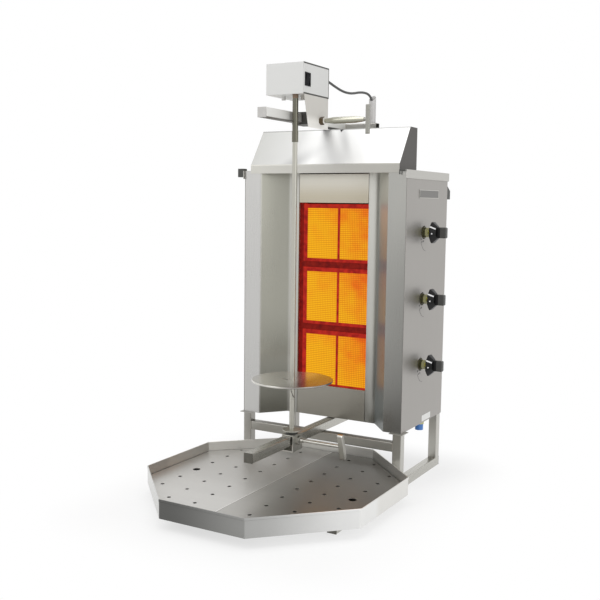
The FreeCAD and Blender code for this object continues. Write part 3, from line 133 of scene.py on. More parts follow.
class Finish:
    """A material, or with another shelf a world, that is being made from nodes."""

    def __init__(self, name, shelf=bpy.data.materials):
        self.made = shelf.new(name)
        self.made.use_nodes = True
        self.tree = self.made.node_tree
        self.tree.nodes.clear()
        self.place = self.node("ShaderNodeTexCoord", {}, {}, "Object")

    def node(self, kind, settings, inputs, output=0):
        """Add a node: its settings first, then the values or links of its sockets."""
        made = self.tree.nodes.new(kind)
        for name, setting in settings.items():
            if name == "stops":
                self.set_stops(made.color_ramp, setting)
            else:
                setattr(made, name, setting)
        for name, item in inputs.items():
            if isinstance(item, Value):
                self.tree.links.new(item.socket, made.inputs[name])
            else:
                made.inputs[name].default_value = item
        return None if output is None else Value(self, made.outputs[output])

    def set_stops(self, ramp, stops):
        while len(ramp.elements) < len(stops):
            ramp.elements.new(0.5)
        for element, (position, colour) in zip(ramp.elements, stops):
            element.position = position
            element.color = (*colour, 1)

    def axis(self, name):
        """One of the three object coordinates, in metres."""
        return self.node("ShaderNodeSeparateXYZ", {}, {"Vector": self.place}, name)

    def noise(self, scale, detail=2.0, roughness=0.5):
        """Cloudy values about 0.5: so many lumps a metre, or so many along each axis."""
        scale = scale if isinstance(scale, tuple) else (scale, scale, scale)
        place = self.node("ShaderNodeMapping", {}, {"Vector": self.place, "Scale": scale})
        inputs = {"Vector": place, "Scale": 1.0, "Detail": detail, "Roughness": roughness}
        return self.node("ShaderNodeTexNoise", {}, inputs)

    def mix(self, share, first, second):
        """The first colour, going over to the second as share goes from 0 to 1."""
        inputs = {0: share, 6: opaque(first), 7: opaque(second)}
        return self.node("ShaderNodeMix", {"data_type": "RGBA"}, inputs, 2)

    def change(self, axis, start, end, first, second):
        """The first colour, going over to the second between two places along an axis."""
        return self.mix(self.axis(axis).rise(start, end), first, second)

    def times(self, colour, shade):
        """A colour made lighter or darker: black at shade 0, the colour itself at 1."""
        grey = self.node("ShaderNodeCombineXYZ", {}, dict.fromkeys("XYZ", shade))
        return self.node("ShaderNodeVectorMath", {"operation": "MULTIPLY"}, {0: grey, 1: colour})

    def ramp(self, share, *stops):
        """A colour that follows a row of (place, colour) stops as share goes from 0 to 1."""
        return self.node("ShaderNodeValToRGB", {"stops": stops}, {"Fac": share})

    def bump(self, height, strength, distance):
        return self.node("ShaderNodeBump", {}, {"Height": height, "Strength": strength, "Distance": distance})

    def moulded_grain(self):
        """The fine bumps of moulded plastic."""
        return self.bump(self.noise(MOULDED_GRAIN, 1.0), 0.08, 0.05 * MM)

    def skin(self, **values):
        """Close the material with a Principled surface; names are its sockets', with underscores."""
        inputs = {name.replace("_", " "): opaque(item) for name, item in values.items()}
        surface = self.node("ShaderNodeBsdfPrincipled", {}, inputs)
        self.node("ShaderNodeOutputMaterial", {}, {"Surface": surface}, None)
        return self.made


def opaque(item):
    """Three numbers as an opaque colour; anything else as it is."""
    return (*item, 1) if isinstance(item, tuple) and len(item) == 3 else item


def shaded(colour, share, lift=0.0):
    """A colour times a share, and lifted, but nowhere above 1."""
    return tuple(min(1, share * number + lift) for number in colour)


def share_across(x, low, high):
    """0 at the left edge of a box and 1 at its right edge."""
    return (x - low.x) / (high.x - low.x)


# Lumps or lines a metre in the finishes' patterns
MOULDED_GRAIN = 2500
SCUFFS = 60
SCALE = 60
SMEARS = 9
VERTICAL = (1600, 1600, 9)
DEPTHWISE = (1600, 9, 1600)
SIDEWAYS = (9, 1600, 1600)


def brushed(finish, colour, grain, roughness=0.3, streaks=0.05, metal=0.9, clouds=0.06):
    """Brush lines, broad streaks and faint smears over a colour, which may already vary over the sheet.

    The grain has a few lines a metre along the brushing and many across it.
    """
    lines = finish.noise(grain, 3.0, 0.6)
    broad = finish.noise(tuple(max(2.0, number * 0.02) for number in grain))
    smears = finish.noise(7, 3.0)
    shade = 1 + (lines - 0.5) * (2 * streaks) + (broad - 0.5) * streaks + (smears - 0.5) * clouds
    rough = roughness + (lines - 0.5) * 0.12 + (smears - 0.5) * 0.10
    bump = finish.bump(lines, 0.10, 0.05 * MM)
    return finish.skin(Base_Color=finish.times(colour, shade), Metallic=metal, Roughness=rough, Normal=bump)


def brushed_steel(name, *looks):
    """Brushed sheet of one colour."""
    return brushed(Finish(name), *looks)


def painted(name, colour, roughness=0.42):
    """Baked paint with a faint orange-peel surface."""
    finish = Finish(name)
    peel = finish.noise(900, 1.0)
    smears = finish.noise(SMEARS, 3.0)
    shade = 0.5 + (smears - 0.5) * 0.08 + (peel - 0.5) * 0.02
    tone = finish.mix(shade, shaded(colour, 0.8), shaded(colour, 1.2))
    bump = finish.bump(peel, 0.15, 0.1 * MM)
    return finish.skin(Base_Color=tone, Metallic=0.0, Roughness=roughness + (smears - 0.5) * 0.1, Normal=bump)


def moulded(name, colour, roughness, coat):
    """Moulded plastic with a fine grain and light scuffs."""
    finish = Finish(name)
    scuffs = finish.noise(SCUFFS, 4.0).rise(0.55, 0.8)
    tone = finish.mix(scuffs * 0.25, colour, shaded(colour, 1.6, 0.02))
    looks = {"Coat_Weight": coat, "Coat_Roughness": 0.1, "Normal": finish.moulded_grain()}
    return finish.skin(Base_Color=tone, Roughness=roughness + scuffs * 0.15, **looks)


def dull_plastic(finish, colour, roughness=0.5, gloss=0.1):
    """Moulded plastic that hardly shines."""
    bump = finish.moulded_grain()
    return finish.skin(Base_Color=colour, Roughness=roughness, Specular_IOR_Level=gloss, Normal=bump)


def plug_finish():
    """The push-in plugs: pale plastic in the upper arm, and dark olive in the tubes low down as painted
    shade.
    """
    finish = Finish("plug plastic")
    scuffs = finish.noise(SCUFFS, 4.0).rise(0.5, 0.8)
    # Painted shade: the plugs low down darker
    colour = finish.change("Z", 0.4, 0.6, (0.105, 0.10, 0.082), (0.54, 0.53, 0.51))
    tone = finish.times(colour, 1 + scuffs * 0.25)
    return finish.skin(Base_Color=tone, Roughness=0.45 + scuffs * 0.1, Normal=finish.moulded_grain())


def turned_metal(name, colour, roughness=0.25, metal=1.0):
    """Machined bar: fine rings too small to count, seen as streaks, and darker handling marks."""
    finish = Finish(name)
    marks = finish.noise(45, 3.0).rise(0.5, 0.8)
    tone = finish.mix(marks * 0.3, colour, shaded(colour, 0.6))
    bump = finish.bump(finish.noise(3000, 1.0), 0.1, 0.04 * MM)
    return finish.skin(Base_Color=tone, Metallic=metal, Roughness=roughness + marks * 0.15, Normal=bump)


# Where the casing's front folds, from 0 at its left to 1 at its right; how grey it is there high up, half way
# up and low down; and how much blue that grey keeps. The greys hold painted shade and reflection: darker low
# down, in the reflectors and on the right wing; the reflectors' lower blue is a warm heat tint.
CASING_TONES_WITH_PAINTED_SHADE = (
    (0.0, 0.57, 0.53, 0.50, 0.965),
    (0.104, 0.57, 0.53, 0.50, 0.965),
    (0.112, 0.33, 0.34, 0.21, 0.86),
    (0.214, 0.33, 0.34, 0.21, 0.86),
    (0.222, 0.52, 0.48, 0.40, 0.92),
    (0.280, 0.52, 0.48, 0.36, 0.92),
    (0.718, 0.60, 0.49, 0.31, 0.92),
    (0.778, 0.60, 0.49, 0.30, 0.92),
    (0.786, 0.50, 0.40, 0.30, 0.88),
    (0.890, 0.50, 0.40, 0.30, 0.88),
    (0.898, 0.40, 0.29, 0.21, 0.93),
    (1.0, 0.40, 0.26, 0.18, 0.93),
)
REFLECTOR_FOLDS = (0.778, 0.786), (0.890, 0.898)
HOOD_LIP_EDGE = (0.8692, 0.8702)
HOOD_NOTCH = 26 * MM
TRAY_CORNERS_ACROSS = (0.306, 0.312), (0.688, 0.694), (0.990, 0.996)
PLATES_REACH = 0.55


def casing_finish():
    """Brushed steel of the wings, heat-tinted in the reflectors, with painted shade and reflection: darker
    low down, in the reflectors and towards the right.
    """
    finish = Finish("casing sheet")
    z = finish.axis("Z")
    across = share_across(finish.axis("X"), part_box("left_side_panel")[0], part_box("right_side_panel")[1])
    folds, *levels, blues = zip(*CASING_TONES_WITH_PAINTED_SHADE)
    rows = ([(grey, 0.99 * grey, blue * grey) for grey, blue in zip(greys, blues)] for greys in levels)
    high, middle, low = (finish.ramp(across, *zip(folds, colours)) for colours in rows)
    # Painted shade and reflection: the wings go darker from high up to low down
    colour = finish.mix(z.rise(0.18, 0.48), low, middle)
    colour = finish.mix(z.rise(0.45, 0.82), colour, high)
    # Painted reflection: the right reflector goes dark bluish grey low down, and shines less
    right_reflector_painted_reflection = across.rise(*REFLECTOR_FOLDS[0]) * (1 - across.rise(*REFLECTOR_FOLDS[1]))
    colour = finish.mix(right_reflector_painted_reflection * (1 - z.rise(0.60, 0.80)) * 0.8, colour, (0.19, 0.215, 0.22))
    return brushed(finish, colour, VERTICAL, 0.30, 0.05, 0.9 - right_reflector_painted_reflection * 0.55)


def hood_finish():
    """Near-white polished sheet with painted reflections, two dull bands from the notch and a greyer left,
    and painted shade on its lip, top bend and right end.
    """
    finish = Finish("hood sheet")
    x, z = finish.axis("X"), finish.axis("Z")
    low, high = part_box("heat_hood")
    # Painted shade: the lip, darker towards the right, the top bend and the right end
    lip = 1 - z.rise(*HOOD_LIP_EDGE)
    top_fold_painted_shade = z.rise(high.z - 3.5 * MM, high.z - 2.0 * MM) * 0.75
    ends = x.rise(high.x - 1.2 * MM, high.x - 0.4 * MM)
    # Painted reflections: two soft dull bands running down from the notch
    notch = CASING.x + HOOD_NOTCH
    drop = high.z - z
    left_painted_reflection = abs(x - notch + drop * 1.15 + 4 * MM)
    right_painted_reflection = abs(x - notch - drop * 0.55 - 2 * MM)
    left_painted_reflection = (1 - left_painted_reflection.rise(0.0, 0.055)) * drop.rise(0.03, 0.10) * 0.28
    right_painted_reflection = (1 - right_painted_reflection.rise(0.0, 0.022)) * (1 - drop.rise(0.03, 0.11)) * 0.22
    clouds = finish.noise((9, 9, 12)).rise(0.45, 0.9) * 0.04
    shade = (1 - left_painted_reflection) * (1 - right_painted_reflection) * (1 - clouds)
    span = share_across(x, low, high)
    dull, grey, white = (0.54, 0.54, 0.52), (0.66, 0.66, 0.65), (0.95, 0.95, 0.94)
    # Painted reflection: the face greyer towards its left end
    face = finish.ramp(span, (0.0, dull), (0.3, grey), (0.42, white), (1.0, white))
    face = finish.mix(top_fold_painted_shade, finish.times(face, shade), (0.30, 0.30, 0.29))
    lip_painted_shade_tones = (0.0, (0.60, 0.59, 0.545)), (0.5, (0.52, 0.51, 0.475)), (1.0, (0.42, 0.41, 0.375))
    colour = finish.mix(lip, face, finish.ramp(span, *lip_painted_shade_tones))
    colour = finish.mix(ends, colour, (0.085, 0.08, 0.074))
    return brushed(finish, colour, SIDEWAYS, 0.45, 0.01, 0.6, 0.02)


def tray_finish():
    """Brushed tray sheet with painted light and shade: each wall its own grey, the front ones going from dull
    at the left to bright at the right.
    """
    finish = Finish("tray sheet")
    low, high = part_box("drip_tray")
    across = share_across(finish.axis("X"), low, high)
    # Painted light and shade: the walls' greys, wall by wall, dull at the front left and bright at the right
    ahead = finish.mix(across.rise(0.33, 0.75), (0.11, 0.11, 0.105), (0.28, 0.28, 0.27))
    slanted_painted_light = finish.mix(across.rise(0.68, 1.0), (0.38, 0.38, 0.37), (0.76, 0.76, 0.75))
    front_left, front_right, side = TRAY_CORNERS_ACROSS
    walls = finish.mix(across.rise(*front_left), (0.60, 0.60, 0.585), ahead)
    walls = finish.mix(across.rise(*front_right), walls, slanted_painted_light)
    walls = finish.mix(across.rise(*side), walls, (0.80, 0.80, 0.785))
    middle = (low.y + high.y) / 2
    front = 1 - finish.axis("Y").rise(middle - 0.06, middle - 0.03)
    colour = finish.mix(front, (0.74, 0.73, 0.70), walls)
    return brushed(finish, colour, SIDEWAYS)


def plate_finish():
    """Drip plates with painted light and shade: the left one pale with a painted highlight where they meet,
    the right one going dark.
    """
    finish = Finish("drip plate sheet")
    x, y = finish.axis("X"), finish.axis("Y")
    front = CASING.y - PLATES_REACH
    # Painted shade: the right plate going over to dark towards the right
    dark = (x - CASING.x + (y - front) * 0.25).rise(0.07, 0.21)
    right = finish.mix(dark, (0.42, 0.41, 0.385), (0.21, 0.203, 0.185))
    # Painted shade: the left plate darker towards the back
    left = finish.mix(y.rise(front + 0.10, front + 0.37), (0.58, 0.57, 0.545), (0.46, 0.45, 0.425))
    # Painted highlight: a bright line on the left plate where the two plates meet
    seam_painted_highlight = 1 - abs(x - CASING.x + 1.6 * MM).rise(0.6 * MM, 1.6 * MM)
    left = finish.mix(seam_painted_highlight * 0.7, left, (0.92, 0.91, 0.88))
    colour = finish.mix(x.rise(CASING.x - 0.2 * MM, CASING.x + 0.2 * MM), left, right)
    return brushed(finish, colour, SIDEWAYS, 0.36, 0.07, 0.7, 0.10)


def brushed_between(name, axis, start, end, first, second, *looks):
    """Brushed steel that goes from one colour to another between two places along an axis."""
    finish = Finish(name)
    return brushed(finish, finish.change(axis, start, end, first, second), *looks)


def carriage_finish():
    """The motor carriage's pale paint, with painted light: brighter on the foot below the motor box, lit from
    the hood below.
    """
    finish = Finish("carriage paint")
    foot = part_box("motor_carriage_plate")[0].z
    smears = finish.noise(SMEARS, 3.0)
    # Painted light: the foot brighter than the plate above it
    colour = finish.change("Z", foot + 0.012, foot + 0.035, (0.90, 0.88, 0.84), (0.62, 0.60, 0.56))
    colour = finish.times(colour, 1 + (smears - 0.5) * 0.08)
    return finish.skin(Base_Color=colour, Metallic=0.0, Roughness=0.42 + (smears - 0.5) * 0.1)


def handle_finish():
    """The upper clamping handle, olive zinc: a painted highlight makes its round grip pale above; its cross
    bar is even.
    """
    finish = Finish("olive zinc plate")
    low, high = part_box("upper_clamping_handle")
    middle = (low.z + high.z) / 2
    # Painted highlight: the round grip pale on top, olive below
    barrel_painted_highlight = finish.change("Z", middle - 0.007, middle + 0.006, (0.26, 0.255, 0.205), (0.60, 0.59, 0.50))
    colour = finish.change("X", high.x - 0.016, high.x - 0.014, barrel_painted_highlight, (0.32, 0.315, 0.285))
    scale = finish.noise(SCALE, 3.0)
    return finish.skin(Base_Color=colour, Metallic=0.9, Roughness=0.26 + (scale - 0.5) * 0.08)


def knob_finish():
    """Black plastic, with a painted sheen: greyer at the outer end of the grip."""
    finish = Finish("black plastic")
    end = CASING.x + (KNOB_BACK + 24) * MM
    # Painted sheen: the grip's outer end greyer than the rest
    colour = finish.change("X", end - 1 * MM, end + 1 * MM, (0.006, 0.006, 0.006), (0.07, 0.07, 0.066))
    return dull_plastic(finish, colour, 0.32, 0.2)


def glowing_tile():
    """Burner tile: rows and columns of small holes, yellow where it is hottest and orange-red above."""
    finish = Finish("glowing tile")
    x, z = finish.axis("X"), finish.axis("Z")
    row = abs((z / TILE_HOLE_PITCH).fraction() - 0.5)
    column = abs((x / TILE_HOLE_PITCH).fraction() - 0.5)
    low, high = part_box("lower_ceramic_tiles")
    across = share_across(x, low, high)
    burner_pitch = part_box("upper_ceramic_tiles")[0].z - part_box("middle_ceramic_tiles")[0].z
    up = ((z - low.z) / burner_pitch).fraction() * (burner_pitch / (high.z - low.z))
    patches = finish.noise(22, 3.0)
    cool = (across * 0.55 + up * 0.45 + (patches - 0.5) * 0.9).rise(0.25, 1.15)
    yellow, amber = (0.92, 0.46, 0.008), (0.90, 0.33, 0.008)
    orange, red = (0.85, 0.19, 0.008), (0.78, 0.10, 0.008)
    glow = finish.ramp(cool, (0.0, yellow), (0.45, amber), (0.8, orange), (1.0, red))
    lines = (row.rise(0.30, 0.46) * 0.75).larger(column.rise(0.33, 0.47) * (0.4 + across * 0.5))
    speck = finish.noise(420, 1.0)
    shade = (lines * 0.95 + (speck - 0.5) * 0.15).larger(0.0)
    emission = finish.mix(shade, glow, (0.45, 0.08, 0.002))
    bump = finish.bump(1 - lines, 0.6, 0.6 * MM)
    looks = {"Roughness": 0.9, "Specular_IOR_Level": 0.1, "Emission_Strength": 1.0}
    return finish.skin(Base_Color=(0.05, 0.02, 0.006), Emission_Color=emission, Normal=bump, **looks)


def steel_with_painted_glow(name, strength):
    """The burner frames and what stands behind them: dark scale, with a painted red glow standing for the
    tiles' light on it.
    """
    finish = Finish(name)
    scale = finish.noise(SCALE, 4.0)
    # Painted light: the red glow
    glow = finish.mix(scale.rise(0.3, 0.75), (0.50, 0.022, 0.012), (0.26, 0.008, 0.008))
    tone = finish.mix(scale, (0.03, 0.005, 0.004), (0.015, 0.004, 0.004))
    bump = finish.bump(scale, 0.3, 0.3 * MM)
    looks = {"Roughness": 0.6, "Specular_IOR_Level": 0.05, "Emission_Strength": strength}
    return finish.skin(Base_Color=tone, Emission_Color=glow, Normal=bump, **looks)


casing_sheet = casing_finish()
side_sheet = brushed_steel("side sheet", (0.37, 0.355, 0.335), VERTICAL, 0.42, 0.04, 0.85)
# The upper panel goes tan towards the flames below it: painted light, the burners' glow on it
upper_panel_sheet = brushed_between(
    "upper panel sheet", "Z", 0.775, 0.835, (0.50, 0.455, 0.36), (0.68, 0.655, 0.585), SIDEWAYS, 0.32
)
# Painted shade: the lower panel is the same steel in a darker grey
lower_panel_sheet = brushed_steel("lower panel sheet", (0.30, 0.285, 0.25), SIDEWAYS, 0.32)
hood_sheet = hood_finish()
lid_sheet = brushed_steel("lid sheet", (0.50, 0.49, 0.46), DEPTHWISE, 0.36, 0.04)
# Painted light and shade: the tubes are one stainless steel, each finish a lighter or darker grey of it
tube_across = brushed_steel("tube brushed across", (0.36, 0.35, 0.32), SIDEWAYS, 0.32)
gallows_tube = brushed_steel("gallows tube", (0.41, 0.40, 0.375), SIDEWAYS, 0.32)
tube_lengthwise = brushed_steel("tube brushed lengthwise", (0.50, 0.49, 0.45), DEPTHWISE, 0.28)
arm_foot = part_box("upper_arm")[0].z
arm_painted_light_and_shade = (0.13, 0.125, 0.115), (0.80, 0.795, 0.77)
arm_looks = DEPTHWISE, 0.48, 0.03, 0.55, 0.04
# The upper arm is the same tube in a pale grey as painted light, its lower edge darker as painted shade
upper_tube = brushed_between("upper arm tube", "Z", arm_foot + MM, arm_foot + 4 * MM, *arm_painted_light_and_shade, *arm_looks)
# The left legs are duller than the right ones: painted shade
leg_looks = VERTICAL, 0.34
leg_tube = brushed_between(
    "leg tubes", "X", CASING.x - 0.05, CASING.x + 0.05, (0.36, 0.35, 0.325), (0.50, 0.49, 0.455), *leg_looks
)
# Painted light: the cable post is the same tube in a paler grey
post_tube = brushed_steel("cable post tube", (0.56, 0.55, 0.54), VERTICAL, 0.5, 0.03, 0.4)
tray_sheet = tray_finish()
plate_sheet = plate_finish()
bright_bar = brushed_steel("bright bar", (0.46, 0.45, 0.40), VERTICAL, 0.34, 0.04)
sleeve_steel = brushed_steel("sleeve steel", (0.155, 0.15, 0.12), VERTICAL, 0.26, 0.04, 1.0)
# The meat disc is duller on the side towards the right reflector: painted reflection of that dark sheet
disc_looks = SIDEWAYS, 0.2, 0.03, 0.85, 0.03
disc_steel = brushed_between(
    "disc steel", "X", CASING.x, CASING.x + 0.06, (0.62, 0.61, 0.57), (0.30, 0.28, 0.26), *disc_looks
)
motor_paint = painted("motor box paint", (0.70, 0.70, 0.685))
carriage_paint = carriage_finish()
dark_paint = painted("dark paint", (0.05, 0.05, 0.045), 0.5)
plate_enamel = painted("plate enamel", (0.15, 0.145, 0.135), 0.35)
coupling_paint = painted("brown coupling", (0.17, 0.11, 0.07), 0.5)
black_plastic = knob_finish()
switch_plastic = dull_plastic(Finish("switch plastic"), (0.006, 0.006, 0.008))
plug_plastic = plug_finish()
blue_cap = moulded("blue cap", (0.055, 0.20, 0.56), 0.35, 0.2)
cable_sheath = moulded("cable sheath", (0.085, 0.085, 0.085), 0.5, 0.05)
brass = turned_metal("brass", (0.72, 0.66, 0.22), 0.25)
# A darker copy of the brass: painted shade on the taps
darker_brass = turned_metal("darker brass", (0.46, 0.45, 0.24), 0.28, 0.8)
zinc = turned_metal("zinc plate", (0.55, 0.54, 0.50), 0.3)
olive_zinc = handle_finish()
nut_steel = turned_metal("nut steel", (0.10, 0.095, 0.05), 0.35)
browned_steel = turned_metal("browned steel", (0.13, 0.10, 0.065), 0.28)
weld_metal = turned_metal("weld metal", (0.38, 0.36, 0.32), 0.35)
dark_wire = turned_metal("dark wire", (0.16, 0.155, 0.14), 0.35)
dull_metal = turned_metal("dull metal", (0.42, 0.41, 0.38), 0.45, 0.8)
sticker_paper = painted("blank sticker", (0.80, 0.80, 0.78), 0.6)
printed_black = painted("printed black", (0.06, 0.06, 0.06), 0.55)
white_mark = painted("white mark", (0.85, 0.85, 0.85), 0.4)
tile_glow = glowing_tile()
# Painted light: the frames' glow, and a fainter one for the rails and gap strips
frame_painted_glow = steel_with_painted_glow("steel with painted red glow", 0.95)
faint_painted_glow = steel_with_painted_glow("steel with faint painted glow", 0.42)

# Shapes


def patch(rows, rows_closed=False):
    """Square faces between rows of points: each row is closed on itself, and the last may join the first."""
    count, columns, _ = rows.shape
    number = np.arange(count * columns).reshape(count, columns)
    if rows_closed:
        number = np.vstack([number, number[:1]])
    number = np.hstack([number, number[:, :1]])
    quads = np.stack([number[:-1, :-1], number[1:, :-1], number[1:, 1:], number[:-1, 1:]], axis=-1)
    return rows.reshape(-1, 3), quads.reshape(-1, 4)


def capped(rows):
    """A patch whose first and last row are closed by one more row each, all of it in their middle."""
    ends = [np.tile(row.mean(axis=0), (1, len(row), 1)) for row in (rows[0], rows[-1])]
    return patch(np.concatenate([ends[0], rows, ends[1]]))


def piece(name, patches, finish, body, slot=None, replaces=(), sharp=35):
    """One object from several patches, its seams and poles closed, riding on a body."""
    starts = np.cumsum([0] + [len(points) for points, _ in patches])
    points = np.vstack([points for points, _ in patches])
    quads = np.vstack([faces + start for (_, faces), start in zip(patches, starts)])
    mesh = bpy.data.meshes.new(name)
    mesh.from_pydata(points.tolist(), [], quads.tolist())
    work = bmesh.new()
    work.from_mesh(mesh)
    bmesh.ops.remove_doubles(work, verts=work.verts, dist=0.002 * MM)
    bmesh.ops.recalc_face_normals(work, faces=work.faces)
    return finished(name, work, mesh, finish, body, slot, replaces, sharp)


def put(name, data):
    """An object in the scene that holds a mesh, a lamp or the camera."""
    made = bpy.data.objects.new(name, data)
    bpy.context.scene.collection.objects.link(made)
    return made


def finished(name, work, mesh, finish, body, slot, replaces, sharp):
    """Put worked faces into a mesh, shade it smooth apart from sharp edges, and hang it on its body."""
    work.to_mesh(mesh)
    work.free()
    mesh.materials.clear()
    mesh.materials.append(finish)
    mesh.polygons.foreach_set("use_smooth", [True] * len(mesh.polygons))
    mesh.polygons.foreach_set("material_index", [0] * len(mesh.polygons))
    mesh.set_sharp_from_angle(angle=math.radians(sharp))
    made = put(name, mesh)
    flat_faces = made.modifiers.new("flat faces stay flat", "WEIGHTED_NORMAL")
    flat_faces.keep_sharp = True
    if body:
        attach(made, body)
    if replaces:
        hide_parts(*replaces)
    return made


def home_of(node):
    """The body that a node rides on, and its material slot in the record."""
    slot = next(part["material_slot"] for part in frame["record"]["subparts"] if part["node"] == node)
    return NODES[node]["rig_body"], slot


def paint(finish, *nodes):
    """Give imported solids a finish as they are."""
    for node in nodes:
        NODES[node].data.materials.clear()
        NODES[node].data.materials.append(finish)


def softened(node, finish, width, along="xyz", shortest=8, segments=2, sharp=30):
    """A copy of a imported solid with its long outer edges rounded; it stands for that solid.

    The width of the rounding and the shortest edge that gets it are in millimetres.
    """
    width, shortest = width * MM, shortest * MM
    work = bmesh.new()
    work.from_mesh(NODES[node].data)
    bmesh.ops.remove_doubles(work, verts=work.verts, dist=0.001 * MM)
    bmesh.ops.dissolve_limit(work, angle_limit=math.radians(0.5), verts=work.verts, edges=work.edges)
    edges = [edge for edge in work.edges if roundable(edge, width, along, shortest)]
    shape = {"offset_type": "OFFSET", "profile": 0.5, "affect": "EDGES"}
    bmesh.ops.bevel(work, geom=edges, offset=width, segments=segments, **shape)
    mesh = bpy.data.meshes.new("soft_" + node)
    return finished("soft_" + node, work, mesh, finish, *home_of(node), (node,), sharp)


def softened_pair(kind, *looks):
    """The left one and the right one of a kind."""
    for side in ("left_", "right_"):
        softened(side + kind, *looks)


def smoothed(finish, *nodes):
    """Copies of packed round solids as they are, shaded smooth between their sharp edges."""
    for node in nodes:
        softened(node, finish, 0, "", sharp=40)


def roundable(edge, width, along, shortest):
    """True for an outward edge that is long enough, lies along a wanted axis and has room beside it."""
    length = edge.calc_length()
    if length < shortest or len(edge.link_faces) != 2:
        return False
    if not edge.is_convex or edge.calc_face_angle() < math.radians(25):
        return False
    direction = (edge.verts[1].co - edge.verts[0].co) / length
    steepest = max(range(3), key=lambda axis: abs(direction[axis]))
    on_axis = abs(direction[steepest]) > 0.98
    if on_axis and "xyz"[steepest] not in along or not on_axis and "d" not in along:
        return False
    room = min(face.calc_area() / max(side.calc_length() for side in face.edges) for face in edge.link_faces)
    return room > 2.2 * width


def unit(vectors):
    """A direction, or a row of them, at length 1."""
    vectors = np.asarray(vectors, float)
    return vectors / np.linalg.norm(vectors, axis=-1, keepdims=True)


def ring_directions(axis):
    """The axis at length 1, and two directions square to it and to each other."""
    axis = unit(axis)
    helper = (0.0, 0.0, 1.0) if abs(axis[2]) < 0.9 else (0.0, 1.0, 0.0)
    first = unit(np.cross(helper, axis))
    return axis, first, np.cross(axis, first)


def full_turn(steps):
    """Angles all round, and their cosines and sines in columns."""
    turn = np.linspace(0, 2 * np.pi, steps, endpoint=False)
    return turn, np.cos(turn)[:, None], np.sin(turn)[:, None]


def polygon_reach(turn, sides, share):
    """How far an outline reaches at each turn, a share of the way from a circle to so many straight sides."""
    step = np.pi / sides
    straight = math.cos(step) / np.cos((turn + step) % (2 * step) - step)
    return 1 + share * (straight - 1)


def turned(profile, middle, axis=(0, 0, 1), steps=40, sides=1, share=0.0):
    """A profile of (radius, height) pairs in millimetres, carried round an axis through a point.

    Its outline is a circle, or goes a share of the way from there to a shape with so many straight sides.
    """
    axis, first, second = ring_directions(axis)
    profile = np.array(profile) * MM
    turn, cos, sin = full_turn(steps)
    reach = profile[:, 0, None] * (polygon_reach(turn, sides, share) if share else np.ones(steps))
    rows = np.asarray(middle, float) + profile[:, 1, None] * axis
    return patch(rows[:, None] + reach[..., None] * (cos * first + sin * second))


def rod(radius, length, edge, start, axis, steps=20):
    """A round bar from a point along an axis, in millimetres, its end edges quarter circles."""
    turn = np.linspace(0, np.pi / 2, 4)
    foot = np.column_stack([radius - edge + edge * np.sin(turn), edge - edge * np.cos(turn)])
    top = np.column_stack([radius - edge + edge * np.cos(turn), length - edge + edge * np.sin(turn)])
    return turned(np.vstack([[0, 0], foot, top, [0, length]]), start, axis, steps)


def rounded_section(width, height, radius):
    """A rectangle about its middle whose corners are quarter circles."""
    turn = np.linspace(0, np.pi / 2, 5)
    corners = []
    for quarter, (side, up) in enumerate(((1, 1), (-1, 1), (-1, -1), (1, -1))):
        angle = turn + quarter * np.pi / 2
        middle = np.array([side * (width / 2 - radius), up * (height / 2 - radius)])
        corners.append(middle + radius * np.column_stack([np.cos(angle), np.sin(angle)]))
    return np.vstack(corners)


def rounded_bar(start, axis, length, width, height, corner, end):
    """A rectangular bar from a point along an axis, with rounded long edges and rounded end edges.

    The section shrinks towards both ends as a quarter circle does.
    """
    axis, first, second = ring_directions(axis)
    turn = np.linspace(0, np.pi / 2, 4)
    inset = np.concatenate([end * (1 - np.sin(turn)), end * (1 - np.cos(turn))])
    along = np.concatenate([[0], end * (1 - np.cos(turn)), length - end + end * np.sin(turn), [length]])
    rings = [
        rounded_section(width - 2 * gap, height - 2 * gap, max(corner - gap, 0.01 * MM)) for gap in inset
    ]
    section = np.stack([rings[0] * 0, *rings, rings[-1] * 0])
    middles = np.asarray(start, float) + along[:, None, None] * axis
    return patch(middles + section[..., 0, None] * first + section[..., 1, None] * second)


def place(x, y, z):
    """A point given in millimetres from the casing's front middle on the floor."""
    return np.array([CASING.x + x * MM, CASING.y + y * MM, z * MM])


def rectangle(left, right, foot, top):
    """Its four corners, anticlockwise from the lower left one."""
    return (left, foot), (right, foot), (right, top), (left, top)


# Motor cable

CABLE_DIAMETER = 6 * MM
CABLE_DRAWN_RADIUS = CABLE_DIAMETER * 0.55
CABLE_POINTS = (
    (12, -19, 1089),
    (12, 1, 1089),
    (20, 20, 1079),
    (33.5, 48, 1065.5),
    (43, 83, 1063),
    (52, 120, 1071.5),
    (62, 153, 1070.5),
    (65.5, 172.5, 1051),
    (65.5, 173.5, 1026),
)


def points_along_spline(points):
    """The points that a NURBS curve of order 3 passes through, from its first control point to its last."""
    curve = bpy.data.curves.new("cable_line", "CURVE")
    curve.dimensions = "3D"
    curve.resolution_u = 8
    spline = curve.splines.new("NURBS")
    spline.points.add(len(points) - 1)
    for point, control in zip(spline.points, points):
        point.co = (*control, 1)
    spline.order_u = 3
    spline.use_endpoint_u = True
    line = bpy.data.objects.new("cable_line", curve)
    mesh = bpy.data.meshes.new_from_object(line)
    found = np.array([vertex.co[:] for vertex in mesh.vertices])
    bpy.data.objects.remove(line)
    bpy.data.meshes.remove(mesh)
    return found


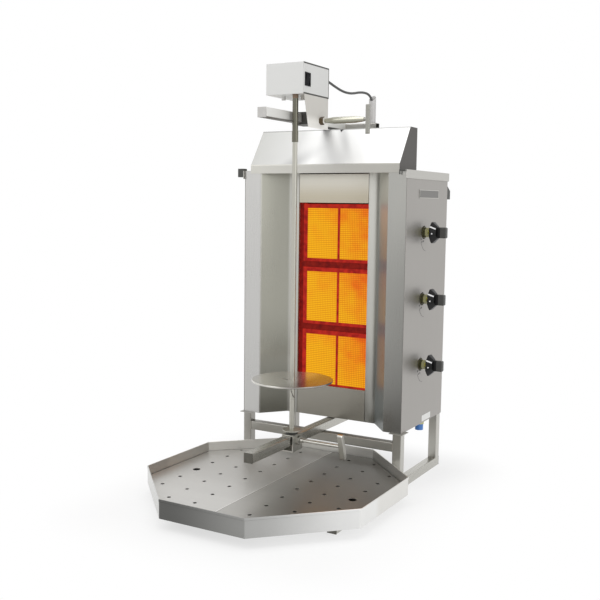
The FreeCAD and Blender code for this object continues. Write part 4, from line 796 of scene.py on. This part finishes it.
def tube_along(points, radius, steps=14):
    """A round tube along points, closed at both ends.

    Each ring stands square to the line there, and its first direction is the last one's, made square again.
    The radius is one number, or one for each point.
    """
    radius = np.broadcast_to(np.asarray(radius, float), (len(points),))[:, None, None]
    ahead = unit(np.gradient(points, axis=0))
    side = np.cross(ahead[0], (0.0, 0.0, 1.0))
    sides = []
    for direction in ahead:
        side = unit(side - direction * np.dot(side, direction))
        sides.append(side)
    sides = np.array(sides)
    ups = np.cross(ahead, sides)
    _, cos, sin = full_turn(steps)
    rings = points[:, None] + radius * cos * sides[:, None] + radius * sin * ups[:, None]
    first, last = (np.repeat(end[:, None, :], steps, axis=1) for end in (points[:1], points[-1:]))
    return patch(np.concatenate([first, rings, last]))


cable_route = [place(*point) for point in CABLE_POINTS]
cable_line = points_along_spline(cable_route)


def motor_cable(line):
    """The cable from the gland at the back of the motor box, sagging, into the hollow post."""
    cable = piece("motor_cable_skin", [tube_along(line, CABLE_DRAWN_RADIUS)], cable_sheath, None, sharp=60)
    length = float(np.linalg.norm(np.diff(line, axis=0), axis=1).sum())
    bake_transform(cable)
    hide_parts("motor_cable")


motor_cable(cable_line)

# Sheets and tubes

softened_pair("front_wing", casing_sheet, 1.2, "z", 100)
softened_pair("side_panel", side_sheet, 0.6, "yz", 100)
softened("back_panel", side_sheet, 0.6, "xz", 100)
softened("upper_front_panel", upper_panel_sheet, 0.6, "xz", 20)
softened("lower_front_panel", lower_panel_sheet, 0.6, "xz", 20)
softened("lid", lid_sheet, 1.2, "xyz", 60)
softened("heat_hood", hood_sheet, 1.4, "x", 60, 3)
softened_pair("floor_rail", tube_lengthwise, 2.2, "y", 100, 3)
softened("legs", leg_tube, 2.2, "z", 60, 3)
softened("front_cross_tube", tube_across, 2.2, "x", 100, 3)
softened("lower_arm", tube_lengthwise, 2.2, "y", 100, 3)
softened("upper_arm", upper_tube, 2.2, "y", 100, 3)
softened("rear_gallows", gallows_tube, 2.2, "xz", 60, 3)
softened("cable_post", post_tube, 2.2, "z", 60, 3)
softened("tube_end_plugs", plug_plastic, 0.6, "xyz", 10)
paint(side_sheet, "base_pan")

# Burners and gas

for name in BURNERS:
    paint(tile_glow, name + "_ceramic_tiles")
    softened(name + "_burner_frame", frame_painted_glow, 0.5, "xz", 60)
    smoothed(brass, name + "_tap_collar")
# Painted shade: the taps' brass darker than the collars'
smoothed(darker_brass, "gas_taps")
softened("gas_inlet", darker_brass, 0.6, "z", 5, sharp=40)
smoothed(blue_cap, "inlet_cap")
smoothed(zinc, "gas_manifold", "burner_feed_pipes")
smoothed(dull_metal, "burner_housings")
# The rails behind the frames carry the faint painted glow
paint(faint_painted_glow, "burner_rails")


def strip_over(line, sideways, outward, thickness):
    """A closed strip along a line of points: so far each way sideways, and sunk by a thickness."""
    line, sideways, outward = (np.asarray(item, float) for item in (line, sideways, outward))
    sunk = line - outward * thickness
    return capped(np.stack([line - sideways, line + sideways, sunk + sideways, sunk - sideways], axis=1))


KNOB_RIM = 3
KNOB_CONE = 12.5
KNOB_RADIUS = 30.5
KNOB_DEPTH_PLACE = 124
KNOB_FLUTES = 8, 0.75
INDEX_TURN = 32
DOT_TURN = -5
GRIP_END = 315
GRIP_WIDTH = 17
GRIP_HEIGHT = 29
STEM_LENGTH = 33
STEM_START = -29.3
DIAL_POINTS = 24


def knob_centre(name):
    low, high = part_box(name + "_knob")
    return place(KNOB_BACK, KNOB_DEPTH_PLACE, (low.z + high.z) / 2 / MM)


def knob(name):
    """A knob: a fluted skirt with a thin rim and a cone, a grip across it, and its stem."""
    centre = knob_centre(name)
    face = KNOB_RIM + KNOB_CONE
    profile = [(0, 0), (KNOB_RADIUS - 1.0, 0), (KNOB_RADIUS - 0.3, 0.3), (KNOB_RADIUS, 1.0)]
    profile += [(KNOB_RADIUS, KNOB_RIM - 0.6), (KNOB_RADIUS - 0.6, KNOB_RIM + 0.5)]
    profile += [(KNOB_RADIUS - KNOB_CONE + 0.8, face - 0.8), (KNOB_RADIUS - KNOB_CONE - 0.8, face), (0, face)]
    skirt = turned(profile, centre, RIGHT, 96, *KNOB_FLUTES)
    length = (GRIP_END - KNOB_BACK - KNOB_RIM) * MM
    width, height = GRIP_WIDTH * MM, GRIP_HEIGHT * MM
    grip = rounded_bar(centre + (KNOB_RIM * MM, 0, 0), RIGHT, length, width, height, 4 * MM, 2.2 * MM)
    stem = rod(4, STEM_LENGTH, 0.4, centre + (STEM_START * MM, 0, 0), RIGHT, 24)
    body, _ = home_of(name + "_knob")
    piece(name + "_knob_head", [skirt, grip], black_plastic, body, "knob_plastic", (name + "_knob",))
    piece(name + "_knob_stem", [stem], zinc, body, "knob_plastic")
    knob_marks(name, centre, body)


def knob_spoke(degrees):
    """The direction from the knob's middle that rises so much from straight ahead."""
    turn = math.radians(degrees)
    return np.array([0, -math.cos(turn), math.sin(turn)])


def knob_marks(name, centre, body):
    """The white index line up the skirt, and the white dot beside the grip."""
    up = math.radians(INDEX_TURN)
    outward = knob_spoke(INDEX_TURN)
    sideways = np.array([0, math.sin(up), math.cos(up)]) * 2.0 * MM
    reach = polygon_reach(np.array([up]), *KNOB_FLUTES)[0]
    spots = ((0.6, 0), (KNOB_RIM, 0), (KNOB_RIM + 11.2, 11.2))
    line = [
        centre + (along * MM, 0, 0) + outward * ((KNOB_RADIUS - inward) * reach + 0.35) * MM
        for along, inward in spots
    ]
    mark = strip_over(line, sideways, outward, 0.9 * MM)
    spoke = knob_spoke(DOT_TURN)
    slope = (spoke + RIGHT) / math.sqrt(2)
    seat = centre + (7.0 * MM, 0, 0) + spoke * (KNOB_RADIUS - 4.6) * MM
    dot = rod(1.9, 1.6, 0.3, seat - slope * 0.5 * MM, slope)
    piece(name + "_knob_marks", [mark, dot], white_mark, body, "knob_plastic")


def tap_front(name):
    """What the casing shows behind a knob: a washer, a lock nut, the dial's arc and three small dark round
    spots.
    """
    face = knob_centre(name) - ((KNOB_BACK - CASING_SIDE) * MM, 0, 0)
    washer = [(11.1, 0.2), (15.2, 0.2), (15.6, 0.6), (15.2, 1.4), (11.1, 1.4), (11.1, 0.2)]
    nut = [(11.1, 1.5), (12.6, 1.5), (13.4, 2.1), (13.4, 6.4), (12.6, 7.0), (11.1, 7.0), (11.1, 1.5)]
    rings = [turned(washer, face, RIGHT), turned(nut, face, RIGHT, *HEXAGON)]
    piece(name + "_tap_nut", rings, nut_steel, "root", "brass", sharp=28)
    turn = np.radians(np.linspace(-126, -74, DIAL_POINTS))
    reach = np.linspace(32, 53, DIAL_POINTS) * MM
    ray = np.column_stack([np.zeros(DIAL_POINTS), np.cos(turn), np.sin(turn)])
    line = face + reach[:, None] * ray + (0.15 * MM, 0, 0)
    half = ray * (np.linspace(0.95, 0.45, DIAL_POINTS) * MM)[:, None]
    arc = strip_over(line, half, np.tile(RIGHT, (DIAL_POINTS, 1)), 0.5 * MM)
    dark_spots = [
        rod(size, 0.6, 0.1, face + (-0.4 * MM, along * MM, rise * MM), RIGHT)
        for along, rise, size in ((-19, -17, 3.0), (-13, -25, 2.4), (-3, -24, 2.6))
    ]
    piece(name + "_dial_print", [arc, *dark_spots], printed_black, "root", "casing_steel")


for name in BURNERS:
    knob(name)
    tap_front(name)

# Casing fittings

softened("lid_side_block", dark_paint, 0.8)
softened("rear_spacers", dark_paint, 0.8, "xyzd")
softened("name_plate", plate_enamel, 0.3, "yz", 10)


def flat_sheet(name, corners, lift, thickness, finish, body, slot):
    """A thin plate between four corners: how far its face is lifted, and its thickness, in millimetres."""
    corners, lift, thickness = np.array(corners, float), lift * MM, thickness * MM
    outward = unit(np.cross(corners[1] - corners[0], corners[3] - corners[0]))
    layers = [corners + outward * (lift - thickness), corners + outward * lift]
    piece(name, [capped(np.array(layers))], finish, body, slot)


def gap_strips():
    """The dark red strips that close the gaps between the burners, set a little behind their frames, with a
    faint painted glow.
    """
    frames = sorted((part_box(name + "_burner_frame") for name in BURNERS), key=lambda box: box[0].z)
    for number, (below, above) in enumerate(zip(frames[:-1], frames[1:])):
        left, right, y = below[0].x, below[1].x, below[0].y + 4 * MM
        foot, top = below[1].z - 2 * MM, above[0].z + 2 * MM
        corners = [(x, y, z) for x, z in rectangle(left, right, foot, top)]
        flat_sheet(f"gap_strip_{number}", corners, 0, 1, faint_painted_glow, *home_of("upper_burner_frame"))


def blank_sticker():
    """The blank sticker, low on the right side panel."""
    corners = [place(CASING_SIDE, y, z) for y, z in rectangle(144, 208, 159, 176)]
    flat_sheet("blank_sticker", corners, 0.3, 0.4, sticker_paper, "root", "casing_steel")


def plate_border():
    """The name plate's raised bright edge: a rounded ridge carried round the plate's four sides."""
    low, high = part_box("name_plate")
    x, front, back, foot, top = high.x, low.y + MM, high.y - MM, low.z + MM, high.z - MM
    corners = np.array([(x, y, z) for y, z in rectangle(front, back, foot, top)])
    turn = np.linspace(0, np.pi, 7)
    middle = corners.mean(axis=0)
    inward = np.sign(middle - corners) * (0, 1, 1)
    rise = np.sin(turn) * 0.5 * MM
    across = -np.cos(turn) * 0.9 * MM
    rows = corners[:, None, :] + across[None, :, None] * inward[:, None, :]
    rows[..., 0] += rise[None, :] - 0.05 * MM
    piece("name_plate_border", [patch(rows, rows_closed=True)], zinc, "root", "dark_metal")


def corner_painted_shadow():
    """A painted shadow at the lid's front right corner: a flat dark L along its edge and down beside the
    hood.
    """
    for name, right, foot, top in (("across", 247, 848.5, 852.6), ("down", 233, 840, 848.6)):
        corners = [place(x, -7, z) for x, z in rectangle(229.5, right, foot, top)]
        flat_sheet("lid_painted_shadow_" + name, corners, 0.25, 0.4, dark_paint, "root", "casing_steel")


gap_strips()
blank_sticker()
plate_border()
corner_painted_shadow()

WELD_STEP = 0.8 * MM
WELD_RIPPLE = 2.5 * MM


def weld_bead(name, start, end, radius, body="root", slot="tube_steel", finish=weld_metal):
    """A weld: a round bead along a line, its radius a sine that swells once a ripple, less at both ends."""
    start, end, radius = np.asarray(start, float), np.asarray(end, float), radius * MM
    length = np.linalg.norm(end - start)
    count = max(8, int(length / WELD_STEP))
    share = np.linspace(0, 1, count)
    _, first, second = ring_directions(end - start)
    swell = radius * (1 + 0.16 * np.sin(share * length / WELD_RIPPLE * 2 * np.pi))
    swell = swell * np.sqrt(np.clip(np.minimum(share, 1 - share) * length / radius, 0, 1))
    _, cos, sin = full_turn(10)
    ring = cos * first + sin * second
    points = start + share[:, None, None] * (end - start) + swell[:, None, None] * ring
    piece(name, [patch(points)], finish, body, slot, sharp=80)


REAR_LEGS = 263
CROSS_TUBE_FOOT = 103
GALLOWS = 160


def frame_welds():
    """Beads where the legs stand on the rails, where the cross tube meets the legs, and at the arms' ends."""
    for side, sign in (("left", -1), ("right", 1)):
        inner, outer = sign * (CASING_SIDE - TUBE), sign * CASING_SIDE
        for leg, front in (("front", 0), ("rear", REAR_LEGS)):
            for face, y in (("", front), ("_back", front + TUBE)):
                ends = place(outer, y, TUBE), place(inner, y, TUBE)
                weld_bead(f"{side}_{leg}_leg{face}_weld", *ends, 1.6)
        foot, top = place(inner, 0, CROSS_TUBE_FOOT), place(inner, 0, CROSS_TUBE_FOOT + TUBE)
        weld_bead(f"{side}_cross_weld", foot, top, 1.4)
    weld_bead("upper_arm_weld", place(-12, GALLOWS, 971), place(-12, GALLOWS, 990), 1.5)
    for x in (-37, -12):
        ends = place(x, GALLOWS, 965), place(x, GALLOWS + TUBE, 965)
        weld_bead(f"gallows_weld_{abs(x)}", *ends, 1.5)


frame_welds()

# Spit and disc

SPIT_FOOT = place(0, -148, 0)
DISC_TOP = 302
smoothed(bright_bar, "spit_rod")
smoothed(dark_paint, "spit_bearing_cup")


def disc():
    """The meat disc: a thin round sheet with a rolled rim, turned, and its hub with softened edges."""
    sheet = [(6.7, 301.6), (7.1, DISC_TOP), (105.6, DISC_TOP), (106.8, 301.5), (107.5, 300.3), (107.5, 297.9)]
    rim = [(107.0, 297.2), (106.3, 297.2), (105.8, 297.8), (105.4, 299.3), (104.6, 300.0)]
    hub = [(12.8, 300.0), (12.0, 299.2), (12.0, 280.7), (11.3, 280.0), (7.3, 280.0), (6.7, 280.6), sheet[0]]
    home = home_of("spit_disc")
    turned_sheet = turned(sheet + rim + hub, SPIT_FOOT, steps=96)
    piece("disc_sheet", [turned_sheet], disc_steel, *home, ("spit_disc",))
    slot = (-27, -152), (-24.5, -155.5), (-4.5, -164.5), (-6.5, -160.5)
    corners = [place(x, y, DISC_TOP) for x, y in slot]
    flat_sheet("disc_slot", corners, 0.12, 0.3, dark_paint, *home)


def disc_clip():
    """The split pin through the spit and its wire clip, which keep the disc from sliding down."""
    home = home_of("spit_disc")
    turn = math.radians(20)
    along = np.array([math.sin(turn), -math.cos(turn), 0])
    start = SPIT_FOOT + (0, 0, 0.247) - along * 11 * MM
    piece("disc_pin", [rod(2.0, 22, 0.6, start, along)], zinc, *home)
    outward = np.array([-along[1], along[0], 0])
    front = SPIT_FOOT + along * 9 * MM
    bends = [(-3.0, 279, 0), (-2.0, 272, -1.0), (2.0, 264, -1.5), (6.5, 256, -1.0)]
    bends += [(8.0, 253, 0.5), (6.0, 254, 1.0), (2.0, 261, 0.0)]
    route = [
        front + outward * across * MM + (0, 0, height * MM) - along * inward * MM
        for across, height, inward in bends
    ]
    wire = tube_along(points_along_spline(route), 0.8 * MM, 10)
    piece("disc_clip", [wire], dark_wire, *home, sharp=60)


disc()
disc_clip()

# Carriages and clamping handles

softened("lower_carriage_clamp", zinc, 0.5, "xyzd", 6, sharp=40)
softened("lower_clamping_handle", zinc, 1.4, "xyzd", 40, 3, sharp=40)
softened("upper_clamping_handle", olive_zinc, 1.0, "z", 40, 3)
softened("upper_arm_slider", dark_paint, 0.8, "y", 40, sharp=40)
softened("motor_carriage_plate", carriage_paint, 0.6, "yzd", 20, sharp=40)

UPPER_NUT_SEAT = (30.3, -70, 977)


def upper_nut():
    """The browned nut that the upper handle screws into: six flats, bevelled ends, over the welded one."""
    rings = [(4.6, 0), (9.0, 0), (10.6, 0.8), (10.6, 12.6), (9.0, 13.6), (4.6, 13.6), (4.6, 0)]
    nut = turned(rings, place(*UPPER_NUT_SEAT), RIGHT, *HEXAGON)
    piece("upper_nut", [nut], browned_steel, "motor_carriage", "carriage_paint", sharp=28)


upper_nut()

# Motor box, drive and switch

softened("motor_cover", motor_paint, 0.9, "xyz", 12)
softened("motor_side_cover", motor_paint, 0.5, "yz", 12)
smoothed(coupling_paint, "drive_coupling")
smoothed(sleeve_steel, "drive_sleeve")
softened("switch_housing", switch_plastic, 0.5)
softened("switch_rocker", switch_plastic, 0.5)
paint(dull_metal, "gear_motor")


def box_seam():
    """The dark seal above, behind and below the motor box's side cover: a thin strip with two bends."""
    front, back, low, high = -159.5, -25.2, 1038.2, 1116.8
    lines = rectangle(front, back, high, low), rectangle(front, back - 2.4, high - 3.6, low + 3.4)
    rows = [[place(x, *spot) for x, spot in rectangle(28.6, 30.25, *spots)] for spots in zip(*lines)]
    piece("box_seam", [capped(np.array(rows))], dark_paint, "motor_carriage", "motor_paint")


box_seam()

BOOT_LENGTH = 22 * MM


def gland_boot(line):
    """The cable's tapered sleeve behind the gland, along the cable's own line."""
    run = np.concatenate([[0], np.cumsum(np.linalg.norm(np.diff(line, axis=0), axis=1))])
    along = np.linspace(0, BOOT_LENGTH, 14)
    path = np.column_stack([np.interp(along, run, line[:, axis]) for axis in range(3)])
    radius = np.interp(along, (0, BOOT_LENGTH - 2 * MM, BOOT_LENGTH), (5.2 * MM, 3.6 * MM, 3.1 * MM))
    piece("gland_boot", [tube_along(path, radius)], cable_sheath, "motor_carriage", "cable_rubber", sharp=60)


gland_boot(cable_line)

# Tray

TRAY_HALF_WIDTH = 311.5
TRAY_HALF_DEPTH = 324.5
TRAY_FRONT_CORNER = 192
TRAY_BACK_CORNER = 184
TRAY_MIDDLE = -231.5


def tray_corners(grow):
    """The tray's eight corners in plan, its walls moved outwards by so many millimetres, anticlockwise."""
    side, reach = TRAY_HALF_WIDTH + grow, TRAY_HALF_DEPTH + grow
    front, back = (corner + (2 - math.sqrt(2)) * grow for corner in (TRAY_FRONT_CORNER, TRAY_BACK_CORNER))
    right = [(side - front, -reach), (side, front - reach), (side, reach - back), (side - back, reach)]
    left = [(-x, y) for x, y in reversed(right)]
    return np.array(right + left) + (0, TRAY_MIDDLE)


def tray_ring(grow, z, round_by=0.9):
    """Three points for each corner: one before it, the corner itself drawn in a little, and one after it."""
    corners = tray_corners(grow)
    back, ahead = (unit(np.roll(corners, step, axis=0) - corners) for step in (1, -1))
    drawn_in = corners + (back + ahead) * round_by * 0.28
    ring = np.stack([corners + back * round_by, drawn_in, corners + ahead * round_by], axis=1).reshape(-1, 2)
    x, y = CASING.x + ring[:, 0] * MM, CASING.y + ring[:, 1] * MM
    return np.column_stack([x, y, np.full(len(ring), z * MM)])


def drip_tray():
    """The tray: one wall section, with a folded rim and bent foot, carried round eight corners.

    Its floor closes it at both ends of the section.
    """
    outside = [(-1.6, 25.5), (-0.5, 25.9), (0.0, 27.0), (0.0, 66.6), (0.3, 67.0), (1.0, 67.6), (1.0, 72.3)]
    inside = [(0.6, 73.0), (-1.0, 73.0), (-1.5, 72.5), (-1.5, 28.6), (-1.9, 27.5), (-3.0, 27.0)]
    rings = [tray_ring(grow, z) for grow, z in outside + inside]
    below, above = (np.tile(place(0, TRAY_MIDDLE, z), (len(rings[0]), 1)) for z in (25.5, 27.0))
    walls = patch(np.stack([below, *rings, above]))
    home = home_of("drip_tray")
    piece("tray_sheet_metal", [walls], tray_sheet, *home, ("drip_tray",), sharp=28)
    for number, (x, y) in enumerate(tray_corners(-1.6)):
        ends = place(x, y, 28), place(x, y, 71.5)
        weld_bead(f"tray_corner_weld_{number}", *ends, 0.9, *home, tray_sheet)


drip_tray()
paint(plate_sheet, "left_drip_plate", "right_drip_plate")

# Camera and light

CAMERA_PLACE = (1.145726, -2.118708, 0.760338)
CAMERA_TURN = math.radians(29.732171)
CAMERA_DIP = math.radians(6.224083)
CAMERA_ROLL = math.radians(0.686141)
FOCAL_LENGTH = 52.7116
SENSOR_WIDTH = 36
ROOM_LIGHT = 0.6
SHADOW_HALF_WIDTH = 0.26
SHADOW_HALF_DEPTH = 0.38
SHADOW_MIDDLE = 0.13
SHADOW_FADE = (0.02, 0.24)
PAPER_SHARE = 0.35
FLOOR_REACH = 6


def add_camera():
    """The photograph's place: right of the front, a little above the middle, looking slightly down."""
    level = Vector((math.cos(CAMERA_TURN), math.sin(CAMERA_TURN), 0))
    flat = Vector((-math.sin(CAMERA_TURN), math.cos(CAMERA_TURN), 0))
    ahead = flat * math.cos(CAMERA_DIP) - Vector((0, 0, math.sin(CAMERA_DIP)))
    up = level.cross(ahead)
    right = level * math.cos(CAMERA_ROLL) + up * math.sin(CAMERA_ROLL)
    up = up * math.cos(CAMERA_ROLL) - level * math.sin(CAMERA_ROLL)
    lens = bpy.data.cameras.new("camera")
    lens.lens = FOCAL_LENGTH
    lens.sensor_width = SENSOR_WIDTH
    lens.sensor_fit = "HORIZONTAL"
    camera = put("camera", lens)
    camera.matrix_world = Matrix((right, up, -ahead)).transposed().to_4x4()
    camera.location = CASING + Vector(CAMERA_PLACE)
    bpy.context.scene.camera = camera


def add_lamp(name, place_at, aim_at, size, watts):
    """A rectangular soft lamp that looks at a point."""
    light = bpy.data.lights.new(name, "AREA")
    light.shape = "RECTANGLE"
    light.size, light.size_y = size
    light.energy = watts
    lamp = put(name, light)
    lamp.location = place_at
    lamp.rotation_euler = (Vector(aim_at) - Vector(place_at)).to_track_quat("-Z", "Y").to_euler()


def add_world():
    """White to the camera, in mirrors and through glass, and a softer grey as the light of the room."""
    studio = Finish("studio", bpy.data.worlds)
    rays = ("Is Camera Ray", "Is Glossy Ray", "Is Transmission Ray")
    camera, mirror, glass = (studio.node("ShaderNodeLightPath", {}, {}, ray) for ray in rays)
    room, white = (
        studio.node("ShaderNodeBackground", {}, {"Color": (1, 1, 1, 1), "Strength": strength})
        for strength in (ROOM_LIGHT, 1.0)
    )
    sky = studio.node("ShaderNodeMixShader", {}, {0: camera.larger(mirror.larger(glass)), 1: room, 2: white})
    studio.node("ShaderNodeOutputWorld", {}, {"Surface": sky}, None)
    bpy.context.scene.world = studio.made
    bpy.context.scene.view_settings.view_transform = "Standard"


def add_floor():
    """A pale floor that keeps the soft shadow near the object and goes over to pure white round it."""
    finish = Finish("floor")
    aside = abs(finish.axis("X") - CASING.x) - SHADOW_HALF_WIDTH
    ahead = abs(finish.axis("Y") - CASING.y + SHADOW_MIDDLE) - SHADOW_HALF_DEPTH
    outside = (aside.larger(0.0) ** 2 + ahead.larger(0.0) ** 2) ** 0.5
    far = outside.rise(*SHADOW_FADE) * PAPER_SHARE + (1 - PAPER_SHARE)
    paper = finish.node("ShaderNodeBsdfDiffuse", {}, {"Color": (0.96, 0.96, 0.96, 1)})
    white = finish.node("ShaderNodeEmission", {}, {"Color": (1, 1, 1, 1), "Strength": 1.0})
    surface = finish.node("ShaderNodeMixShader", {}, {0: far, 1: paper, 2: white})
    finish.node("ShaderNodeOutputMaterial", {}, {"Surface": surface}, None)
    mesh = bpy.data.meshes.new("floor")
    corners = [(x * FLOOR_REACH, y * FLOOR_REACH, 0) for x, y in rectangle(-1, 1, -1, 1)]
    mesh.from_pydata(corners, [], [(0, 1, 2, 3)])
    mesh.materials.append(finish.made)
    put("floor", mesh)


add_camera()
add_world()
add_floor()
add_lamp("key", (-1.6, -2.8, 3.2), (0, 0, 0.6), (2.6, 2.6), 32)
add_lamp("top", (0.3, -0.3, 3.4), (0, 0, 0.6), (2.6, 2.6), 28)
add_lamp("right fill", (3.2, -0.8, 1.6), (0, 0, 0.5), (1.8, 2.0), 12)
